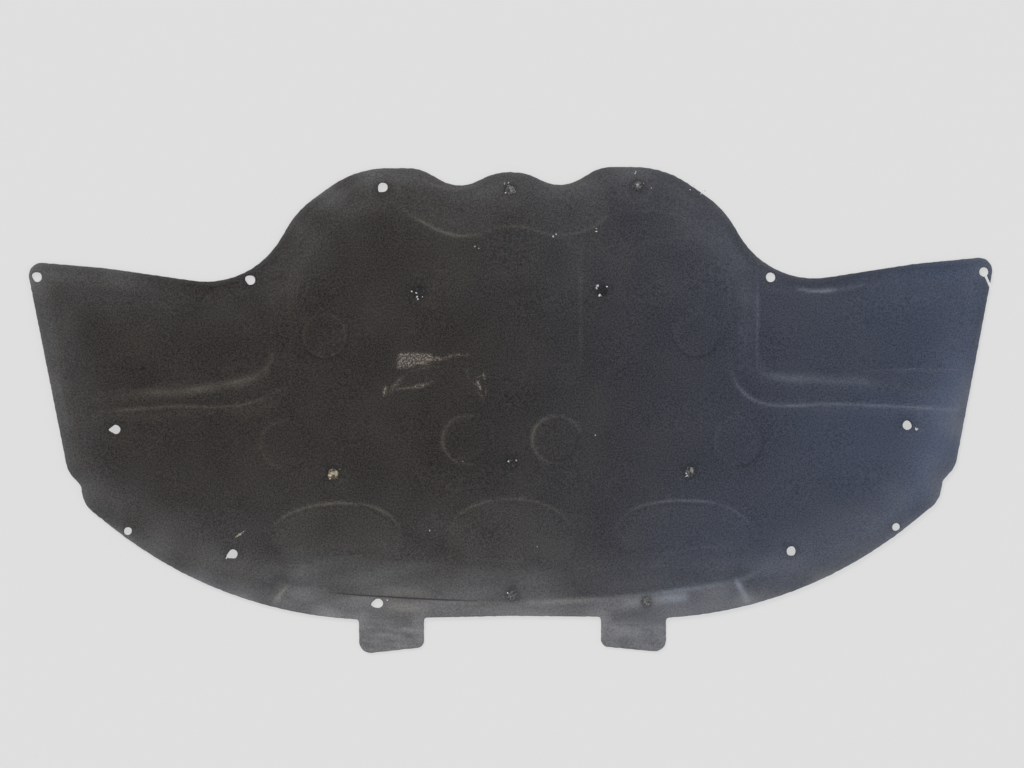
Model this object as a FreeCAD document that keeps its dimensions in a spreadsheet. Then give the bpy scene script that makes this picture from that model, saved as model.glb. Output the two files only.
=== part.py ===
"""Moulded felt insulation pad for the underside of a car hood.

The pad is one pressed fibre sheet. It lies face up on its flat back: X runs across the car,
Y towards the windscreen and Z up. Its edge is pressed thin, two wing fields stand a little
higher, a ledge climbs from each wing to the raised middle field, and shallow pillows lie on
the fields. Rows of clip holes have pressed seats. All lengths are in millimetres.

The right half is modelled first. Heights across the pad are measured from a datum line
that runs through the wing steps, and the finished body is moved to the middle of its box.
"""
import FreeCAD, Part
import math
import os
from typing import NamedTuple, Optional

import Sketcher

NODE = "insulation_pad"

SIZES = {
    # Pressed thicknesses, all above the flat back
    "rim_thickness": 4.0,
    "wing_thickness": 8.0,
    "ledge_thickness": 12.0,
    "field_thickness": 16.0,
    "tab_thickness": 2.6,
    "seat_thickness": 5.5,
    # Rear edge: a middle lobe, a valley and a crown on each side
    "lobe_x": 19.0,
    "lobe_y": 308.5,
    "lobe_radius": 70.0,
    "valley_x": 66.3,
    "valley_y": 284.9,
    "valley_radius": 50.0,
    "crown_inner_x": 117.6,
    "crown_inner_y": 314.6,
    "crown_inner_radius": 56.0,
    "crown_outer_x": 200.0,
    "crown_outer_y": 314.3,
    "crown_outer_radius": 125.0,
    "shoulder_x": 276.0,
    "shoulder_y": 260.4,
    "shoulder_radius": 119.0,
    # Wing
    "wing_root_x": 336.4,
    "wing_root_y": 158.7,
    "wing_root_radius": 112.0,
    "wing_bow_x": 525.0,
    "wing_bow_y": 187.0,
    "wing_bow_radius": 600.0,
    "wing_tip_x": 628.6,
    "wing_tip_y": 196.2,
    "wing_tip_radius": 17.0,
    # Side and front edge, with drops measured down from the datum line
    "side_x": 575.5,
    "side_drop": 76.7,
    "side_radius": 35.0,
    "notch_x": 559.0,
    "notch_drop": 94.5,
    "notch_radius": 8.0,
    "cheek_x": 554.3,
    "cheek_drop": 120.5,
    "cheek_radius": 36.0,
    "front_bow_x": 380.4,
    "front_bow_drop": 259.7,
    "front_bow_radius": 550.0,
    "front_drop": 267.0,
    "front_sag": 3.6,
    # Front tabs
    "tab_inner_x": 114.6,
    "tab_width": 84.5,
    "tab_length": 44.5,
    "tab_slant": 8.6,
    "tab_root_radius": 4.0,
    "tab_outer_radius": 15.0,
    "tab_inner_radius": 10.0,
    "tab_joggle": 15.0,
    # Raised middle field: its foot lies inside the edge, its top further in
    "field_rim": 6.0,
    "field_slope": 22.0,
    "field_lobe_y": 240.0,
    "field_valley_shift": 6.0,
    "field_valley_fall": 66.0,
    "field_crown_shift": 33.0,
    "field_crown_fall": 53.5,
    "field_crown_radius": 40.0,
    "field_shoulder_shift": 18.0,
    "field_shoulder_fall": 48.0,
    "field_shoulder_radius": 70.0,
    "field_wall_x": 287.0,
    "field_wall_radius": 50.0,
    "step_slope": 24.0,
    "step_rise": 6.0,
    "step_fall": 6.0,
    "step_end_radius": 12.0,
    # Front flange and the slope behind it
    "flange_width": 18.0,
    "flange_end_x": 308.0,
    "flange_end_rise": 27.0,
    "flange_end_skew": 14.0,
    "flange_end_radius": 8.0,
    "flange_bow_x": 150.0,
    "flange_bow_radius": 800.0,
    "front_slope": 46.0,
    "lower_edge_shift": 49.9,
    "lower_edge_rise": 40.1,
    "lower_edge_radius": 480.0,
    # Ledge between a wing and the middle field
    "ledge_wall_x": 309.0,
    "ledge_top_y": 160.0,
    "ledge_inner_y": 38.0,
    "ledge_outer_y": 14.0,
    "ledge_tuck": 30.0,
    "ledge_slope": 16.0,
    "ledge_radius": 24.0,
    # Wing field
    "wing_rim": 9.0,
    "wing_slope": 12.0,
    "wing_inner_x": 236.0,
    # Pillows
    "pillow_height": 2.0,
    "pillow_slope": 6.0,
    "pillow_radius": 35.0,
    "upper_pillow_x": 240.6,
    "upper_pillow_y": 97.3,
    "outer_pillow_x": 293.8,
    "outer_pillow_drop": 42.2,
    "inner_pillow_x": 59.7,
    "inner_pillow_drop": 40.2,
    "dome_x": 222.8,
    "dome_reach": 111.0,
    "dome_drop": 188.0,
    "dome_apex_rise": 130.0,
    "dome_apex_radius": 106.0,
    "dome_foot_radius": 20.0,
    "middle_dome_reach": 103.0,
    "middle_dome_drop": 196.0,
    "middle_dome_apex_rise": 160.0,
    "middle_dome_apex_radius": 87.0,
    "wing_pillow_inner_x": 421.0,
    "wing_pillow_inner_skew": 29.0,
    "wing_pillow_top_y": 146.0,
    "wing_pillow_bottom_y": 55.0,
    "wing_pillow_margin": 30.0,
    "wing_pillow_radius": 22.0,
    # Clip holes and their pressed seats
    "clip_radius": 6.0,
    "edge_clip_radius": 5.0,
    "seat_radius": 11.0,
    "dimple_radius": 15.0,
    "dimple_depth": 6.0,
    "dimple_slope": 6.0,
    "tip_clip_in": 15.1,
    "tip_clip_fall": 20.6,
    "root_clip_out": 0.6,
    "root_clip_rise": 11.5,
    "crown_clip_in": 35.0,
    "crown_clip_fall": 24.7,
    "side_clip_in": 63.3,
    "side_clip_rise": 54.3,
    "cheek_clip_in": 56.5,
    "cheek_clip_fall": 33.7,
    "lower_clip_in": 19.1,
    "lower_clip_rise": 75.3,
    "tab_clip_in": 59.4,
    "tab_clip_rise": 17.3,
    "inner_clip_x": 118.0,
    "inner_clip_y": 153.0,
    "mid_clip_x": 230.8,
    "mid_clip_drop": 81.3,
    "middle_rear_fall": 23.1,
    "middle_clip_drop": 69.4,
    "middle_front_rise": 27.0,
    # Tear from the right wing tip hole to the side edge
    "tear_width": 3.4,
    "tear_run": 12.0,
    "tear_fall": 26.0,
}


class Size:
    """A length, kept together with the sheet expression that gives it."""

    def __init__(self, value: float, text: str):
        self.value = value
        self.text = text

    def _join(self, mark: str, other, value: float) -> "Size":
        return Size(value, f"({self.text} {mark} {as_size(other).text})")

    def __add__(self, other) -> "Size":
        return self._join("+", other, self.value + as_size(other).value)

    def __sub__(self, other) -> "Size":
        return self._join("-", other, self.value - as_size(other).value)

    def __mul__(self, other) -> "Size":
        return self._join("*", other, self.value * as_size(other).value)

    def __truediv__(self, other) -> "Size":
        return self._join("/", other, self.value / as_size(other).value)

    def __neg__(self) -> "Size":
        return Size(-self.value, f"(0 - {self.text})")

    def root(self) -> "Size":
        """Square root."""
        return Size(math.sqrt(self.value), f"sqrt({self.text})")


class Corner(NamedTuple):
    """A corner of an outline, sharp where it has no radius."""

    x: Size
    y: Size
    radius: Optional[Size] = None


def as_size(number) -> Size:
    """A plain number as a Size."""
    return number if isinstance(number, Size) else Size(float(number), repr(float(number)))


def make_sheet(doc) -> dict:
    """Write the driving sizes to the sheet and return them by name."""
    sheet = doc.addObject("Spreadsheet::Sheet", "Sizes")
    named = {}
    for row, (name, value) in enumerate(SIZES.items(), start=1):
        sheet.set(f"A{row}", name)
        sheet.set(f"B{row}", str(value))
        sheet.setAlias(f"B{row}", name)
        named[name] = Size(value, f"Sizes.{name}")
    doc.recompute()
    return named


def inset(before: Corner, here: Corner, after: Corner, distance: Size) -> tuple:
    """The corner `here`, moved inwards so that both its edges move by `distance`.

    Corners run clockwise, so the inside of an edge is on its right.
    """
    along_x, along_y = unit(before, here)
    onward_x, onward_y = unit(here, after)
    spread = along_x * onward_x + along_y * onward_y + 1
    return (
        here.x + distance * (along_y + onward_y) / spread,
        here.y - distance * (along_x + onward_x) / spread,
    )


def unit(start: Corner, end: Corner) -> tuple:
    """Direction from one corner to the next, with a length of one."""
    run, rise = end.x - start.x, end.y - start.y
    length = (run * run + rise * rise).root()
    return run / length, rise / length


def turns_left(first: Corner, here: Corner, last: Corner) -> bool:
    """Whether a clockwise outline bends back outwards at a corner."""
    run_x, run_y = here.x.value - first.x.value, here.y.value - first.y.value
    next_x, next_y = last.x.value - here.x.value, last.y.value - here.y.value
    return run_x * next_y - run_y * next_x > 0


def reach_on(start: Corner, end: Corner, y: Size) -> Size:
    """X of the straight line through two corners at a given Y."""
    return start.x + (y - start.y) * (end.x - start.x) / (end.y - start.y)


def origin_plane(body, role: str):
    """One of the body's own origin planes, by its role."""
    return next(item for item in body.Origin.OriginFeatures if item.Role == role)


def new_sketch(body, name: str, height: Optional[Size] = None, role: str = "XY_Plane"):
    """A sketch on an origin plane, lifted by `height` along its normal."""
    sketch = body.newObject("Sketcher::SketchObject", name)
    sketch.AttachmentSupport = [(origin_plane(body, role), "")]
    sketch.MapMode = "FlatFace"
    if height is not None:
        sketch.setExpression("AttachmentOffset.Base.z", height.text)
    return sketch


def add_bound(sketch, kind: str, *where, size: Size) -> None:
    """Add one dimension to a sketch and bind it to the sheet."""
    index = sketch.addConstraint(Sketcher.Constraint(kind, *where, size.value))
    sketch.setExpression(f"Constraints[{index}]", size.text)


def fitted_radii(corners: list) -> list:
    """Radius of each corner, limited so that neighbouring arcs fit on their shared edge."""
    count = len(corners)
    points = [FreeCAD.Vector(corner.x.value, corner.y.value, 0) for corner in corners]
    reach = []
    for index, corner in enumerate(corners):
        onward = points[(index + 1) % count] - points[index]
        turn = (points[index] - points[index - 1]).getAngle(onward)
        reach.append(corner.radius.value * math.tan(turn / 2) if corner.radius else 0.0)
    radii = []
    for index, corner in enumerate(corners):
        share = 1.0
        for step in (-1, 1):
            other = (index + step) % count
            needed = reach[index] + reach[other]
            room = 0.995 * (points[other] - points[index]).Length
            if needed > room:
                share = min(share, room / needed)
        if corner.radius and share < 1.0:
            radii.append(corner.radius * share)
        else:
            radii.append(corner.radius)
    return radii


def draw_outline(sketch, corners: list) -> None:
    """Draw a closed outline through corners, with tangent arcs at the rounded ones."""
    count = len(corners)
    radii = fitted_radii(corners)
    points = [FreeCAD.Vector(corner.x.value, corner.y.value, 0) for corner in corners]
    ahead = [(points[(i + 1) % count] - points[i]).normalize() for i in range(count)]
    ends = []
    for i in range(count):
        turn = ahead[i - 1].getAngle(ahead[i])
        cut = radii[i].value * math.tan(turn / 2) if radii[i] else 0.0
        ends.append((points[i] - ahead[i - 1] * cut, points[i] + ahead[i] * cut))
    lines = [
        sketch.addGeometry(Part.LineSegment(ends[i][1], ends[(i + 1) % count][0]))
        for i in range(count)
    ]
    for i, corner in enumerate(corners):
        before, after = lines[i - 1], lines[i]
        if radii[i] is None:
            sketch.addConstraint(Sketcher.Constraint("Coincident", before, 2, after, 1))
            add_bound(sketch, "DistanceX", -1, 1, after, 1, size=corner.x)
            add_bound(sketch, "DistanceY", -1, 1, after, 1, size=corner.y)
            continue
        left_turn = ahead[i - 1].cross(ahead[i]).z > 0
        side = 1 if left_turn else -1
        normal = FreeCAD.Vector(-ahead[i - 1].y, ahead[i - 1].x, 0) * side
        centre = ends[i][0] + normal * radii[i].value
        first, last = ends[i] if left_turn else reversed(ends[i])
        circle = Part.Circle(centre, FreeCAD.Vector(0, 0, 1), radii[i].value)
        arc = sketch.addGeometry(
            Part.ArcOfCircle(circle, circle.parameter(first), circle.parameter(last))
        )
        entry, leave = (1, 2) if left_turn else (2, 1)
        apex = sketch.addGeometry(Part.Point(points[i]), True)
        sketch.addConstraint([
            Sketcher.Constraint("Tangent", before, 2, arc, entry),
            Sketcher.Constraint("Tangent", arc, leave, after, 1),
            Sketcher.Constraint("PointOnObject", apex, 1, before),
            Sketcher.Constraint("PointOnObject", apex, 1, after),
        ])
        add_bound(sketch, "Radius", arc, size=radii[i])
        add_bound(sketch, "DistanceX", -1, 1, apex, 1, size=corner.x)
        add_bound(sketch, "DistanceY", -1, 1, apex, 1, size=corner.y)


def draw_circles(sketch, places: list, radius: Size) -> None:
    """Draw one circle of the same radius at each place."""
    for x, y in places:
        circle = Part.Circle(
            FreeCAD.Vector(x.value, y.value, 0), FreeCAD.Vector(0, 0, 1), radius.value
        )
        index = sketch.addGeometry(circle)
        add_bound(sketch, "Radius", index, size=radius)
        add_bound(sketch, "DistanceX", -1, 1, index, 3, size=x)
        add_bound(sketch, "DistanceY", -1, 1, index, 3, size=y)


def add_pad(body, name: str, sketch, length: Size, slope: Optional[Size] = None):
    """Raise a sketch, with walls that lean in by `slope` over the height."""
    pad = body.newObject("PartDesign::Pad", name)
    pad.Profile = sketch
    pad.setExpression("Length", length.text)
    if slope is not None:
        pad.setExpression("TaperAngle", f"-atan({slope.text} / {length.text})")
    return pad


def add_loft(body, name: str, base, top):
    """Raise a form with straight slopes between a base outline and a top outline."""
    loft = body.newObject("PartDesign::AdditiveLoft", name)
    loft.Profile = base
    loft.Sections = [top]
    loft.Ruled = True
    return loft


def add_cut(body, name: str, sketch, depth: Optional[Size] = None, slope: Optional[Size] = None):
    """Cut a sketch downwards by `depth`, or right through where there is none."""
    cut = body.newObject("PartDesign::Pocket", name)
    cut.Profile = sketch
    if depth is None:
        cut.Type = "ThroughAll"
        cut.SideType = "Symmetric"
    else:
        cut.setExpression("Length", depth.text)
    if slope is not None:
        cut.setExpression("TaperAngle", f"-atan({slope.text} / {depth.text})")
    return cut


class Pad:
    """The pad's body, built feature by feature from the named sizes."""

    def __init__(self, doc, size: dict):
        self.doc = doc
        self.size = size
        self.body = doc.addObject("PartDesign::Body", NODE)
        self.body.Label = NODE
        self.edge = self.edge_corners()

    def edge_corners(self) -> dict:
        """Corners of the right half of the edge, clockwise from the middle of the rear."""
        s = self.size
        tab_outer_x = s["tab_inner_x"] + s["tab_width"]
        root_y = -s["front_drop"] - s["front_sag"]
        end_y = -s["front_drop"] - s["tab_length"]
        half_slant = s["tab_slant"] / 2
        corners = {"rear": Corner(as_size(0), s["lobe_y"])}
        for name in (
            "lobe", "valley", "crown_inner", "crown_outer", "shoulder",
            "wing_root", "wing_bow", "wing_tip",
        ):
            corners[name] = Corner(s[f"{name}_x"], s[f"{name}_y"], s[f"{name}_radius"])
        for name in ("side", "notch", "cheek", "front_bow"):
            corners[name] = Corner(s[f"{name}_x"], -s[f"{name}_drop"], s[f"{name}_radius"])
        root_radius = s["tab_root_radius"]
        corners["tab_outer_root"] = Corner(tab_outer_x, root_y, root_radius)
        corners["tab_outer"] = Corner(tab_outer_x, end_y - half_slant, s["tab_outer_radius"])
        corners["tab_inner"] = Corner(
            s["tab_inner_x"], end_y + half_slant, s["tab_inner_radius"]
        )
        corners["tab_inner_root"] = Corner(
            s["tab_inner_x"], root_y + s["front_sag"] / 2, root_radius
        )
        corners["front"] = Corner(as_size(0), -s["front_drop"])
        return corners

    def inset_corner(self, first: Corner, here: Corner, last: Corner, distance: Size) -> Corner:
        """A corner of the edge moved inwards, with its arc kept concentric where it can be."""
        x, y = inset(first, here, last, distance)
        hollow = turns_left(first, here, last)
        radius = here.radius + distance if hollow else here.radius - distance
        if radius.value <= distance.value / 4:
            radius = here.radius / 4
        return Corner(x, y, radius)

    def inset_run(self, names: tuple, distance: Size) -> list:
        """The corners of a run of the edge moved inwards, without the first and the last."""
        run = [self.edge[name] for name in names]
        return [
            self.inset_corner(first, here, last, distance)
            for first, here, last in zip(run, run[1:], run[2:])
        ]

    def flank(self, distance: Size) -> list:
        """The side and the lower edge moved inwards, as far as the end of the flange."""
        s = self.size
        bow = self.edge["front_bow"]
        lower = Corner(
            bow.x + s["lower_edge_shift"], bow.y + s["lower_edge_rise"], s["lower_edge_radius"]
        )
        flange_end = Corner(
            s["flange_end_x"] + s["flange_end_skew"], -s["front_drop"] + s["flange_width"]
        )
        run = [self.edge[name] for name in ("wing_tip", "side", "notch", "cheek")]
        run += [lower, flange_end]
        return [
            self.inset_corner(first, here, last, distance)
            for first, here, last in zip(run, run[1:], run[2:])
        ]

    def side_reach(self, y: Size, distance: Size) -> Size:
        """X of the outer side edge at a given Y, less a margin."""
        return reach_on(self.edge["wing_tip"], self.edge["side"], y) - distance

    def rim(self) -> None:
        """The pressed sheet that makes the whole edge and the tabs."""
        sketch = new_sketch(self.body, "edge_outline")
        draw_outline(sketch, list(self.edge.values()))
        add_pad(self.body, "edge_sheet", sketch, self.size["rim_thickness"])

    def field_foot(self) -> list:
        """Foot of the raised field: it follows the edge, the wing step and the flange."""
        s = self.size
        margin = s["field_rim"]
        rear = self.inset_run(
            ("rear", "lobe", "valley", "crown_inner", "crown_outer", "shoulder", "wing_root"),
            margin,
        )
        wall_x = s["field_wall_x"] + s["step_slope"]
        wall_y = rear[-1].y + (wall_x - rear[-1].x) * self.shoulder_fall()
        step_y = s["step_slope"] - s["step_fall"]
        crease_y = s["flange_width"] - s["front_drop"]
        tuck_y = crease_y + s["flange_end_rise"]
        radius = s["flange_end_radius"]
        return [
            Corner(as_size(0), s["lobe_y"] - margin),
            *rear,
            Corner(wall_x, wall_y, s["field_wall_radius"]),
            Corner(
                wall_x, s["step_rise"] + s["step_slope"], s["field_wall_radius"] - s["step_slope"]
            ),
            Corner(self.side_reach(step_y, margin), step_y, s["step_end_radius"]),
            *self.flank(margin),
            Corner(s["flange_end_x"] + s["flange_end_skew"], crease_y + margin, radius),
            Corner(s["flange_end_x"], tuck_y, radius),
            Corner(s["flange_bow_x"], crease_y, s["flange_bow_radius"]),
            Corner(as_size(0), crease_y),
        ]

    def field_top(self) -> list:
        """Top of the raised field, with as many corners as its foot."""
        s = self.size
        margin = s["field_slope"]
        valley, crown = self.edge["valley"], self.edge["crown_inner"]
        brow, neck = self.edge["crown_outer"], self.edge["shoulder"]
        neck_x = neck.x - s["field_shoulder_shift"]
        neck_y = neck.y - s["field_shoulder_fall"]
        wall_x = s["field_wall_x"]
        wall_y = neck_y + (wall_x - neck_x) * self.shoulder_fall()
        front_y = s["flange_width"] + s["front_slope"] - s["front_drop"]
        jog_y = s["flange_width"] + s["flange_end_rise"] - s["front_drop"]
        radius = s["flange_end_radius"] + s["field_slope"]
        return [
            Corner(as_size(0), s["field_lobe_y"]),
            Corner(s["lobe_x"], s["field_lobe_y"], s["lobe_radius"]),
            Corner(
                valley.x - s["field_valley_shift"],
                valley.y - s["field_valley_fall"],
                s["valley_radius"],
            ),
            Corner(
                crown.x + s["field_crown_shift"],
                crown.y - s["field_crown_fall"],
                s["field_crown_radius"],
            ),
            Corner(
                brow.x + s["field_valley_shift"],
                brow.y - s["field_crown_fall"],
                s["field_shoulder_radius"],
            ),
            Corner(neck_x, neck_y, s["field_shoulder_radius"]),
            Corner(wall_x, wall_y, s["field_wall_radius"]),
            Corner(wall_x, s["step_rise"], s["field_wall_radius"]),
            Corner(
                self.side_reach(-s["step_fall"], margin), -s["step_fall"], s["step_end_radius"]
            ),
            *self.flank(margin),
            Corner(s["flange_end_x"] + margin, jog_y, radius),
            Corner(s["flange_end_x"] - s["flange_end_radius"], front_y, radius),
            Corner(s["flange_bow_x"], front_y, s["flange_bow_radius"]),
            Corner(as_size(0), front_y - s["front_sag"]),
        ]

    def shoulder_fall(self) -> Size:
        """Fall of the straight edge between the shoulder and the wing root, per unit of X."""
        shoulder, root = self.edge["shoulder"], self.edge["wing_root"]
        return (root.y - shoulder.y) / (root.x - shoulder.x)

    def raise_between(self, name: str, foot: list, top: list, height: Size) -> None:
        """Loft a form from the pressed sheet up to a height."""
        low = new_sketch(self.body, f"{name}_foot", self.size["rim_thickness"])
        draw_outline(low, foot)
        high = new_sketch(self.body, f"{name}_top", height)
        draw_outline(high, top)
        add_loft(self.body, name, low, high)

    def middle_field(self) -> None:
        """The raised field that covers the middle and the front of the pad."""
        self.raise_between(
            "middle_field", self.field_foot(), self.field_top(), self.size["field_thickness"]
        )

    def wing_outline(self, margin: Size) -> list:
        """Outline of a wing field, which runs in under the middle field."""
        s = self.size
        shoulder, *wing, side = self.inset_run(
            ("crown_outer", "shoulder", "wing_root", "wing_bow", "wing_tip", "side", "notch"),
            margin,
        )
        return [
            Corner(s["wing_inner_x"], shoulder.y),
            Corner(shoulder.x, shoulder.y),
            *wing,
            Corner(side.x, side.y),
            Corner(s["wing_inner_x"], side.y),
        ]

    def wing_field(self) -> None:
        """The thin field of the wing."""
        s = self.size
        self.raise_between(
            "wing_field",
            self.wing_outline(s["wing_rim"]),
            self.wing_outline(s["wing_rim"] + s["wing_slope"]),
            s["wing_thickness"],
        )

    def ledge_outline(self, spread: Size, margin: Size) -> list:
        """Outline of the ledge along the wing step, which runs in under the middle field."""
        s = self.size
        wall_x = s["ledge_wall_x"] + spread
        top_y = s["ledge_top_y"] + spread
        outer_y = s["ledge_outer_y"] + spread
        low_y = -s["ledge_tuck"]
        return [
            Corner(s["wing_inner_x"], top_y),
            Corner(wall_x, top_y, s["ledge_slope"]),
            Corner(wall_x, s["ledge_inner_y"] + spread, s["ledge_radius"] - spread / 2),
            Corner(self.side_reach(outer_y, margin), outer_y, s["ledge_slope"]),
            Corner(self.side_reach(low_y, margin), low_y),
            Corner(s["wing_inner_x"], low_y),
        ]

    def ledge(self) -> None:
        """The ledge halfway up the step between the wing and the middle field."""
        s = self.size
        self.raise_between(
            "wing_ledge",
            self.ledge_outline(s["ledge_slope"], s["wing_rim"]),
            self.ledge_outline(as_size(0), s["wing_rim"] + s["ledge_slope"]),
            s["ledge_thickness"],
        )

    def dome(self, x: Size, reach: Size, foot_y: Size, rise: Size, radius: Size) -> list:
        """A domed pillow: a triangle with a large round apex and two round feet."""
        foot_radius = self.size["dome_foot_radius"]
        return [
            Corner(x, foot_y + rise, radius),
            Corner(x + reach, foot_y, foot_radius),
            Corner(x - reach, foot_y, foot_radius),
        ]

    def pillows(self) -> None:
        """Shallow pillows on the field and on the wing."""
        s = self.size
        height, slope = s["pillow_height"], s["pillow_slope"]
        rounds = new_sketch(self.body, "round_pillow_outlines", s["field_thickness"])
        places = [
            (s["upper_pillow_x"], s["upper_pillow_y"]),
            (s["outer_pillow_x"], -s["outer_pillow_drop"]),
            (s["inner_pillow_x"], -s["inner_pillow_drop"]),
        ]
        draw_circles(rounds, places, s["pillow_radius"])
        add_pad(self.body, "round_pillows", rounds, height, slope)
        dome = new_sketch(self.body, "dome_outline", s["field_thickness"])
        draw_outline(dome, self.dome(
            s["dome_x"], s["dome_reach"], -s["dome_drop"],
            s["dome_apex_rise"], s["dome_apex_radius"],
        ))
        add_pad(self.body, "dome_pillow", dome, height, slope)
        wing = new_sketch(self.body, "wing_pillow_outline", s["wing_thickness"])
        top_y, bottom_y = s["wing_pillow_top_y"], s["wing_pillow_bottom_y"]
        inner_x, margin = s["wing_pillow_inner_x"], s["wing_pillow_margin"]
        radius = s["wing_pillow_radius"]
        draw_outline(wing, [
            Corner(inner_x, top_y, radius),
            Corner(self.side_reach(top_y, margin), top_y, radius),
            Corner(self.side_reach(bottom_y, margin), bottom_y, radius),
            Corner(inner_x + s["wing_pillow_inner_skew"], bottom_y, radius),
        ])
        add_pad(self.body, "wing_pillow", wing, height, slope)

    def tab_step(self) -> None:
        """The tab is pressed thinner than the rim, behind a short slope at its root."""
        s = self.size
        sketch = new_sketch(self.body, "tab_step_profile", role="YZ_Plane")
        root_y = -s["front_drop"] - s["front_sag"] - s["tab_root_radius"]
        end_y = -s["front_drop"] - s["tab_length"] - s["tab_slant"]
        above = s["rim_thickness"] * 2
        draw_outline(sketch, [
            Corner(root_y, s["rim_thickness"]),
            Corner(root_y, above),
            Corner(end_y, above),
            Corner(end_y, s["tab_thickness"]),
            Corner(root_y - s["tab_joggle"], s["tab_thickness"]),
        ])
        add_cut(self.body, "tab_step", sketch)

    def side_clips(self) -> dict:
        """Places of the clip holes of the right half, each tied to the corner beside it."""
        s = self.size
        tip, root = self.edge["wing_tip"], self.edge["wing_root"]
        crown, side = self.edge["crown_outer"], self.edge["side"]
        cheek, bow = self.edge["cheek"], self.edge["front_bow"]
        return {
            "tip": (tip.x - s["tip_clip_in"], tip.y - s["tip_clip_fall"]),
            "root": (root.x + s["root_clip_out"], root.y + s["root_clip_rise"]),
            "crown": (crown.x - s["crown_clip_in"], crown.y - s["crown_clip_fall"]),
            "side": (side.x - s["side_clip_in"], side.y + s["side_clip_rise"]),
            "cheek": (cheek.x - s["cheek_clip_in"], cheek.y - s["cheek_clip_fall"]),
            "lower": (bow.x - s["lower_clip_in"], bow.y + s["lower_clip_rise"]),
            "tab": (
                s["tab_inner_x"] + s["tab_clip_in"],
                s["tab_clip_rise"] - s["front_drop"],
            ),
            "inner": (s["inner_clip_x"], s["inner_clip_y"]),
            "mid": (s["mid_clip_x"], -s["mid_clip_drop"]),
        }

    def clip_cuts(self, name: str, seated: list, dimpled: list) -> None:
        """Press flat seats on the slopes and dimples in the field, then punch the holes."""
        s = self.size
        seats = new_sketch(self.body, f"{name}_seat_circles", s["field_thickness"])
        draw_circles(seats, seated, s["seat_radius"])
        add_cut(self.body, f"{name}_seats", seats, s["field_thickness"] - s["seat_thickness"])
        dimples = new_sketch(self.body, f"{name}_dimple_circles", s["field_thickness"])
        draw_circles(dimples, dimpled, s["dimple_radius"])
        add_cut(self.body, f"{name}_dimples", dimples, s["dimple_depth"], s["dimple_slope"])
        holes = new_sketch(self.body, f"{name}_hole_circles")
        draw_circles(holes, seated + dimpled, s["clip_radius"])
        add_cut(self.body, f"{name}_holes", holes)

    def side_holes(self) -> None:
        """Clip holes of the right half."""
        clips = self.side_clips()
        seated = [clips[name] for name in ("tip", "root", "crown", "tab")]
        dimpled = [clips[name] for name in ("side", "lower", "inner", "mid")]
        self.clip_cuts("side_clip", seated, dimpled)
        edge = new_sketch(self.body, "edge_hole_circle")
        draw_circles(edge, [clips["cheek"]], self.size["edge_clip_radius"])
        add_cut(self.body, "edge_hole", edge)

    def other_half(self) -> None:
        """The left half is the mirror image of the right one."""
        self.doc.recompute()
        mirror = self.body.newObject("PartDesign::Mirrored", "other_half")
        mirror.MirrorPlane = (origin_plane(self.body, "YZ_Plane"), [""])
        mirror.TransformMode = "Whole shape"
        self.body.Tip = mirror

    def middle_details(self) -> None:
        """The pillow and the clip holes that lie on the middle line."""
        s = self.size
        sketch = new_sketch(self.body, "middle_dome_outline", s["field_thickness"])
        draw_outline(sketch, self.dome(
            as_size(0), s["middle_dome_reach"], -s["middle_dome_drop"],
            s["middle_dome_apex_rise"], s["middle_dome_apex_radius"],
        ))
        add_pad(self.body, "middle_dome", sketch, s["pillow_height"], s["pillow_slope"])
        rear = (as_size(0), s["lobe_y"] - s["middle_rear_fall"])
        front = (as_size(0), s["middle_front_rise"] - s["front_drop"])
        middle = (as_size(0), -s["middle_clip_drop"])
        self.clip_cuts("middle_clip", [rear, front], [middle])

    def tear(self) -> None:
        """The right wing tip hole is torn out to the side edge."""
        s = self.size
        x, y = self.side_clips()["tip"]
        half = s["tear_width"] / 2
        sketch = new_sketch(self.body, "tear_outline")
        draw_outline(sketch, [
            Corner(x - half, y),
            Corner(x + half, y),
            Corner(x + half + s["tear_run"], y - s["tear_fall"]),
            Corner(x - half + s["tear_run"], y - s["tear_fall"]),
        ])
        add_cut(self.body, "tear", sketch)

    def build(self) -> None:
        """Make every feature in order and centre the body over its own box."""
        self.rim()
        self.middle_field()
        self.wing_field()
        self.ledge()
        self.pillows()
        self.tab_step()
        self.side_holes()
        self.other_half()
        self.middle_details()
        self.tear()
        self.doc.recompute()
        box = self.body.Shape.BoundBox
        self.body.Placement.Base = FreeCAD.Vector(-box.Center.x, -box.Center.y, -box.ZMin)
        self.doc.recompute()


def check(doc, body) -> None:
    """Stop if a feature failed or the body isn't one sound solid."""
    failed = [item.Name for item in doc.Objects if {"Invalid", "Error"} & set(item.State)]
    if failed:
        raise RuntimeError(f"features failed: {failed}")
    shape = body.Shape
    if shape.isNull() or not shape.isValid() or len(shape.Solids) != 1:
        raise RuntimeError("the pad isn't one valid solid")


def main() -> None:
    """Build the pad and write its solid."""
    doc = FreeCAD.newDocument("hood_insulation_pad")
    pad = Pad(doc, make_sheet(doc))
    pad.build()
    check(doc, pad.body)
    box = pad.body.Shape.BoundBox
    print(f"{NODE}: {box.XLength:.1f} x {box.YLength:.1f} x {box.ZLength:.1f} mm,"
          f" {pad.body.Shape.Volume / 1e6:.3f} litres")
    os.makedirs("parts", exist_ok=True)
    pad.body.Shape.exportStep(f"parts/{NODE}.step")


main()
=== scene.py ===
"""Looks of a pressed felt hood insulation pad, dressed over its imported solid.

The pad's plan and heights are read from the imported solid. The visible pad is a dense felt
skin with soft creases, rounded cut edges, torn clip holes, frayed fibres and dust.
"""

import logging
import math
from dataclasses import dataclass, field
from enum import Enum

import bpy
import numpy as np
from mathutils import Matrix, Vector, geometry, kdtree
from mathutils.bvhtree import BVHTree

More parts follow.
